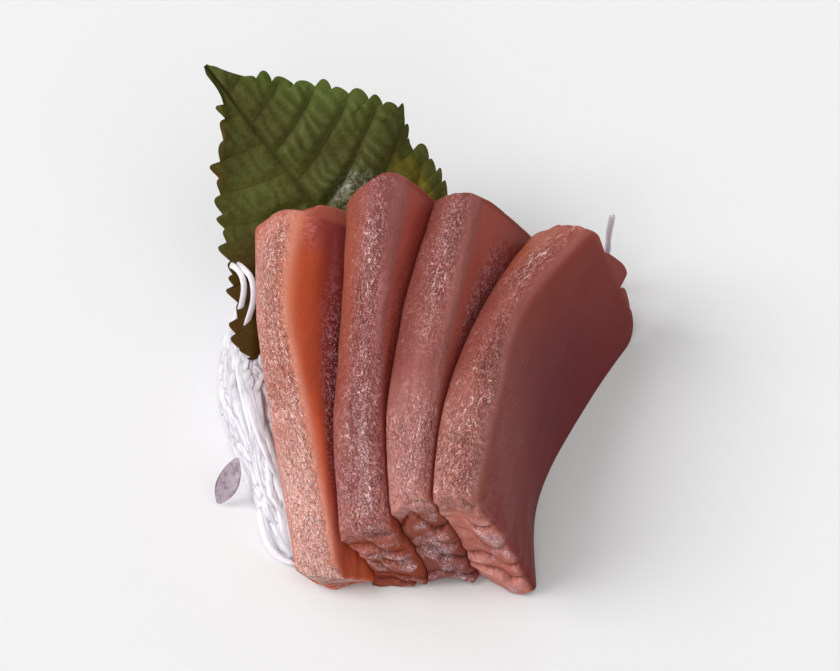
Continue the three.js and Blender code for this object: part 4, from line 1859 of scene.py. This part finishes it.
@dataclass
class Stage:
    """Pale table, soft light from the left and a camera looking down from the front."""

    table_half: float = 1.5
    elevation: float = 50.0
    distance: float = 0.70
    target: Sequence[float] = (0.0, 46.0, 15.0)
    image_scale: float = 5.9
    image_width: float = 840.0
    sensor_mm: float = 36.0
    nearest: float = 0.01
    aim: Sequence[float] = (0.0, 0.0, 0.015)
    key_from: Sequence[float] = (-1.0, -0.05, 0.9)
    key_strength: float = 2.3
    key_size: float = 36.0
    fill_from: Sequence[float] = (0.1, -0.75, 1.0)
    fill_strength: float = 0.95
    fill_size: float = 80.0
    sky: float = 0.41
    glint_power: float = 0.4
    glint_size: float = 0.11
    glint_places: Sequence[Sequence[float]] = ((-0.25, 0.6, 0.8), (-0.7, 0.45, 0.5), (-0.2, -0.8, 0.6))

    def table(self) -> None:
        """Lays the table top."""
        mesh = bpy.data.meshes.new("table")
        half = self.table_half
        mesh.from_pydata([(-half, -half, 0), (half, -half, 0), (half, half, 0), (-half, half, 0)], [],
                         [(0, 1, 2, 3)])
        mesh.materials.append(TableFinish().make())
        thing = bpy.data.objects.new("table", mesh)
        bpy.context.scene.collection.objects.link(thing)

    def camera(self, shift: Array) -> None:
        """Sets the camera.

        Args:
            shift: move from the working space to the frame, in millimetres.
        """
        data = bpy.data.cameras.new("camera")
        data.sensor_width = self.sensor_mm
        data.lens = self.image_scale * self.distance / MM * self.sensor_mm / self.image_width
        data.clip_start = self.nearest
        thing = bpy.data.objects.new("camera", data)
        lean = math.radians(self.elevation)
        target = Vector((np.array(self.target) + shift) * MM)
        thing.location = target + Vector((0, -math.cos(lean), math.sin(lean))) * self.distance
        thing.rotation_euler = (math.pi / 2 - lean, 0, 0)
        bpy.context.scene.collection.objects.link(thing)
        bpy.context.scene.camera = thing

    def lamp(self, name: str, kind: str, power: float, size: float, source: Sequence[float]) -> None:
        """Adds one lamp that points at the serving.

        Args:
            name: its name.
            kind: SUN or AREA.
            power: its strength.
            size: a sun's angle in degrees, or an area lamp's side in metres.
            source: where it is, in metres.
        """
        data = bpy.data.lights.new(name, kind)
        data.energy = power
        if kind == "SUN":
            data.angle = math.radians(size)
        else:
            data.shape = "SQUARE"
            data.size = size
        thing = bpy.data.objects.new(name, data)
        thing.location = source
        thing.rotation_euler = (Vector(self.aim) - Vector(source)).to_track_quat("-Z", "Y").to_euler()
        bpy.context.scene.collection.objects.link(thing)

    def light(self) -> None:
        """Sets the sky and the lamps."""
        world = bpy.data.worlds.new("studio")
        world.use_nodes = True
        background = world.node_tree.nodes["Background"].inputs
        background["Color"].default_value = (1.0, 1.0, 1.0, 1.0)
        background["Strength"].default_value = self.sky
        bpy.context.scene.world = world
        self.lamp("window", "SUN", self.key_strength, self.key_size, self.key_from)
        self.lamp("front_fill", "SUN", self.fill_strength, self.fill_size, self.fill_from)
        for number, place in enumerate(self.glint_places):
            self.lamp(f"glint_lamp_{number}", "AREA", self.glint_power, self.glint_size, place)
        bpy.context.scene.view_settings.view_transform = "Standard"


# ------------------------------------------------------------------ the whole


def slices_shift(slices: FishSlices) -> Array:
    """Move from the working space to the frame, found on the slices of fish.

    Args:
        slices: the slices as built here.

    Returns:
        The move in millimetres.
    """
    own_low, own_high = slices.own_box()
    boxes = [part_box(one.name) for one in slices.shape.slices]
    low = np.min([np.array(box[0]) for box in boxes], axis=0) / MM
    high = np.max([np.array(box[1]) for box in boxes], axis=0) / MM
    shift = (low + high) / 2 - (own_low + own_high) / 2
    shift[2] = low[2] - own_low[2]
    return shift


def main() -> None:
    """Builds and dresses every piece in order."""
    logging.basicConfig(level=logging.INFO, format="%(name)s: %(message)s")
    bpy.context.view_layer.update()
    slices = fish_slices()
    shift = slices_shift(slices)
    log.info("shift %s", np.round(shift, 3))
    stage = Stage()
    stage.camera(shift)
    stage.table()
    stage.light()

    placer = Placer(shift)
    for index, one in enumerate(slices.shape.slices):
        placer.piece(f"fish_{one.name}", slices.build(index), one.finish.make(), [one.name])
    leaf = ShisoLeaf()
    placer.piece("leaf_blade", leaf.build(), leaf.finish.make(), ["shiso_leaf"])
    heap = DaikonHeap()
    placer.piece("heap_core", heap.build_core(), heap.core_finish.make(), ["daikon_bed"])
    placer.piece("heap_threads", heap.build_threads(), heap.finish.make(), [])
    strand = DaikonStrand()
    placer.piece("standing_thread", strand.build(), strand.finish.make(), ["daikon_strand"])
    curl = DaikonCurl()
    placer.piece("radish_slip", curl.build(), curl.finish.make(), ["daikon_curl"])


if __name__ == "__main__":
    main()
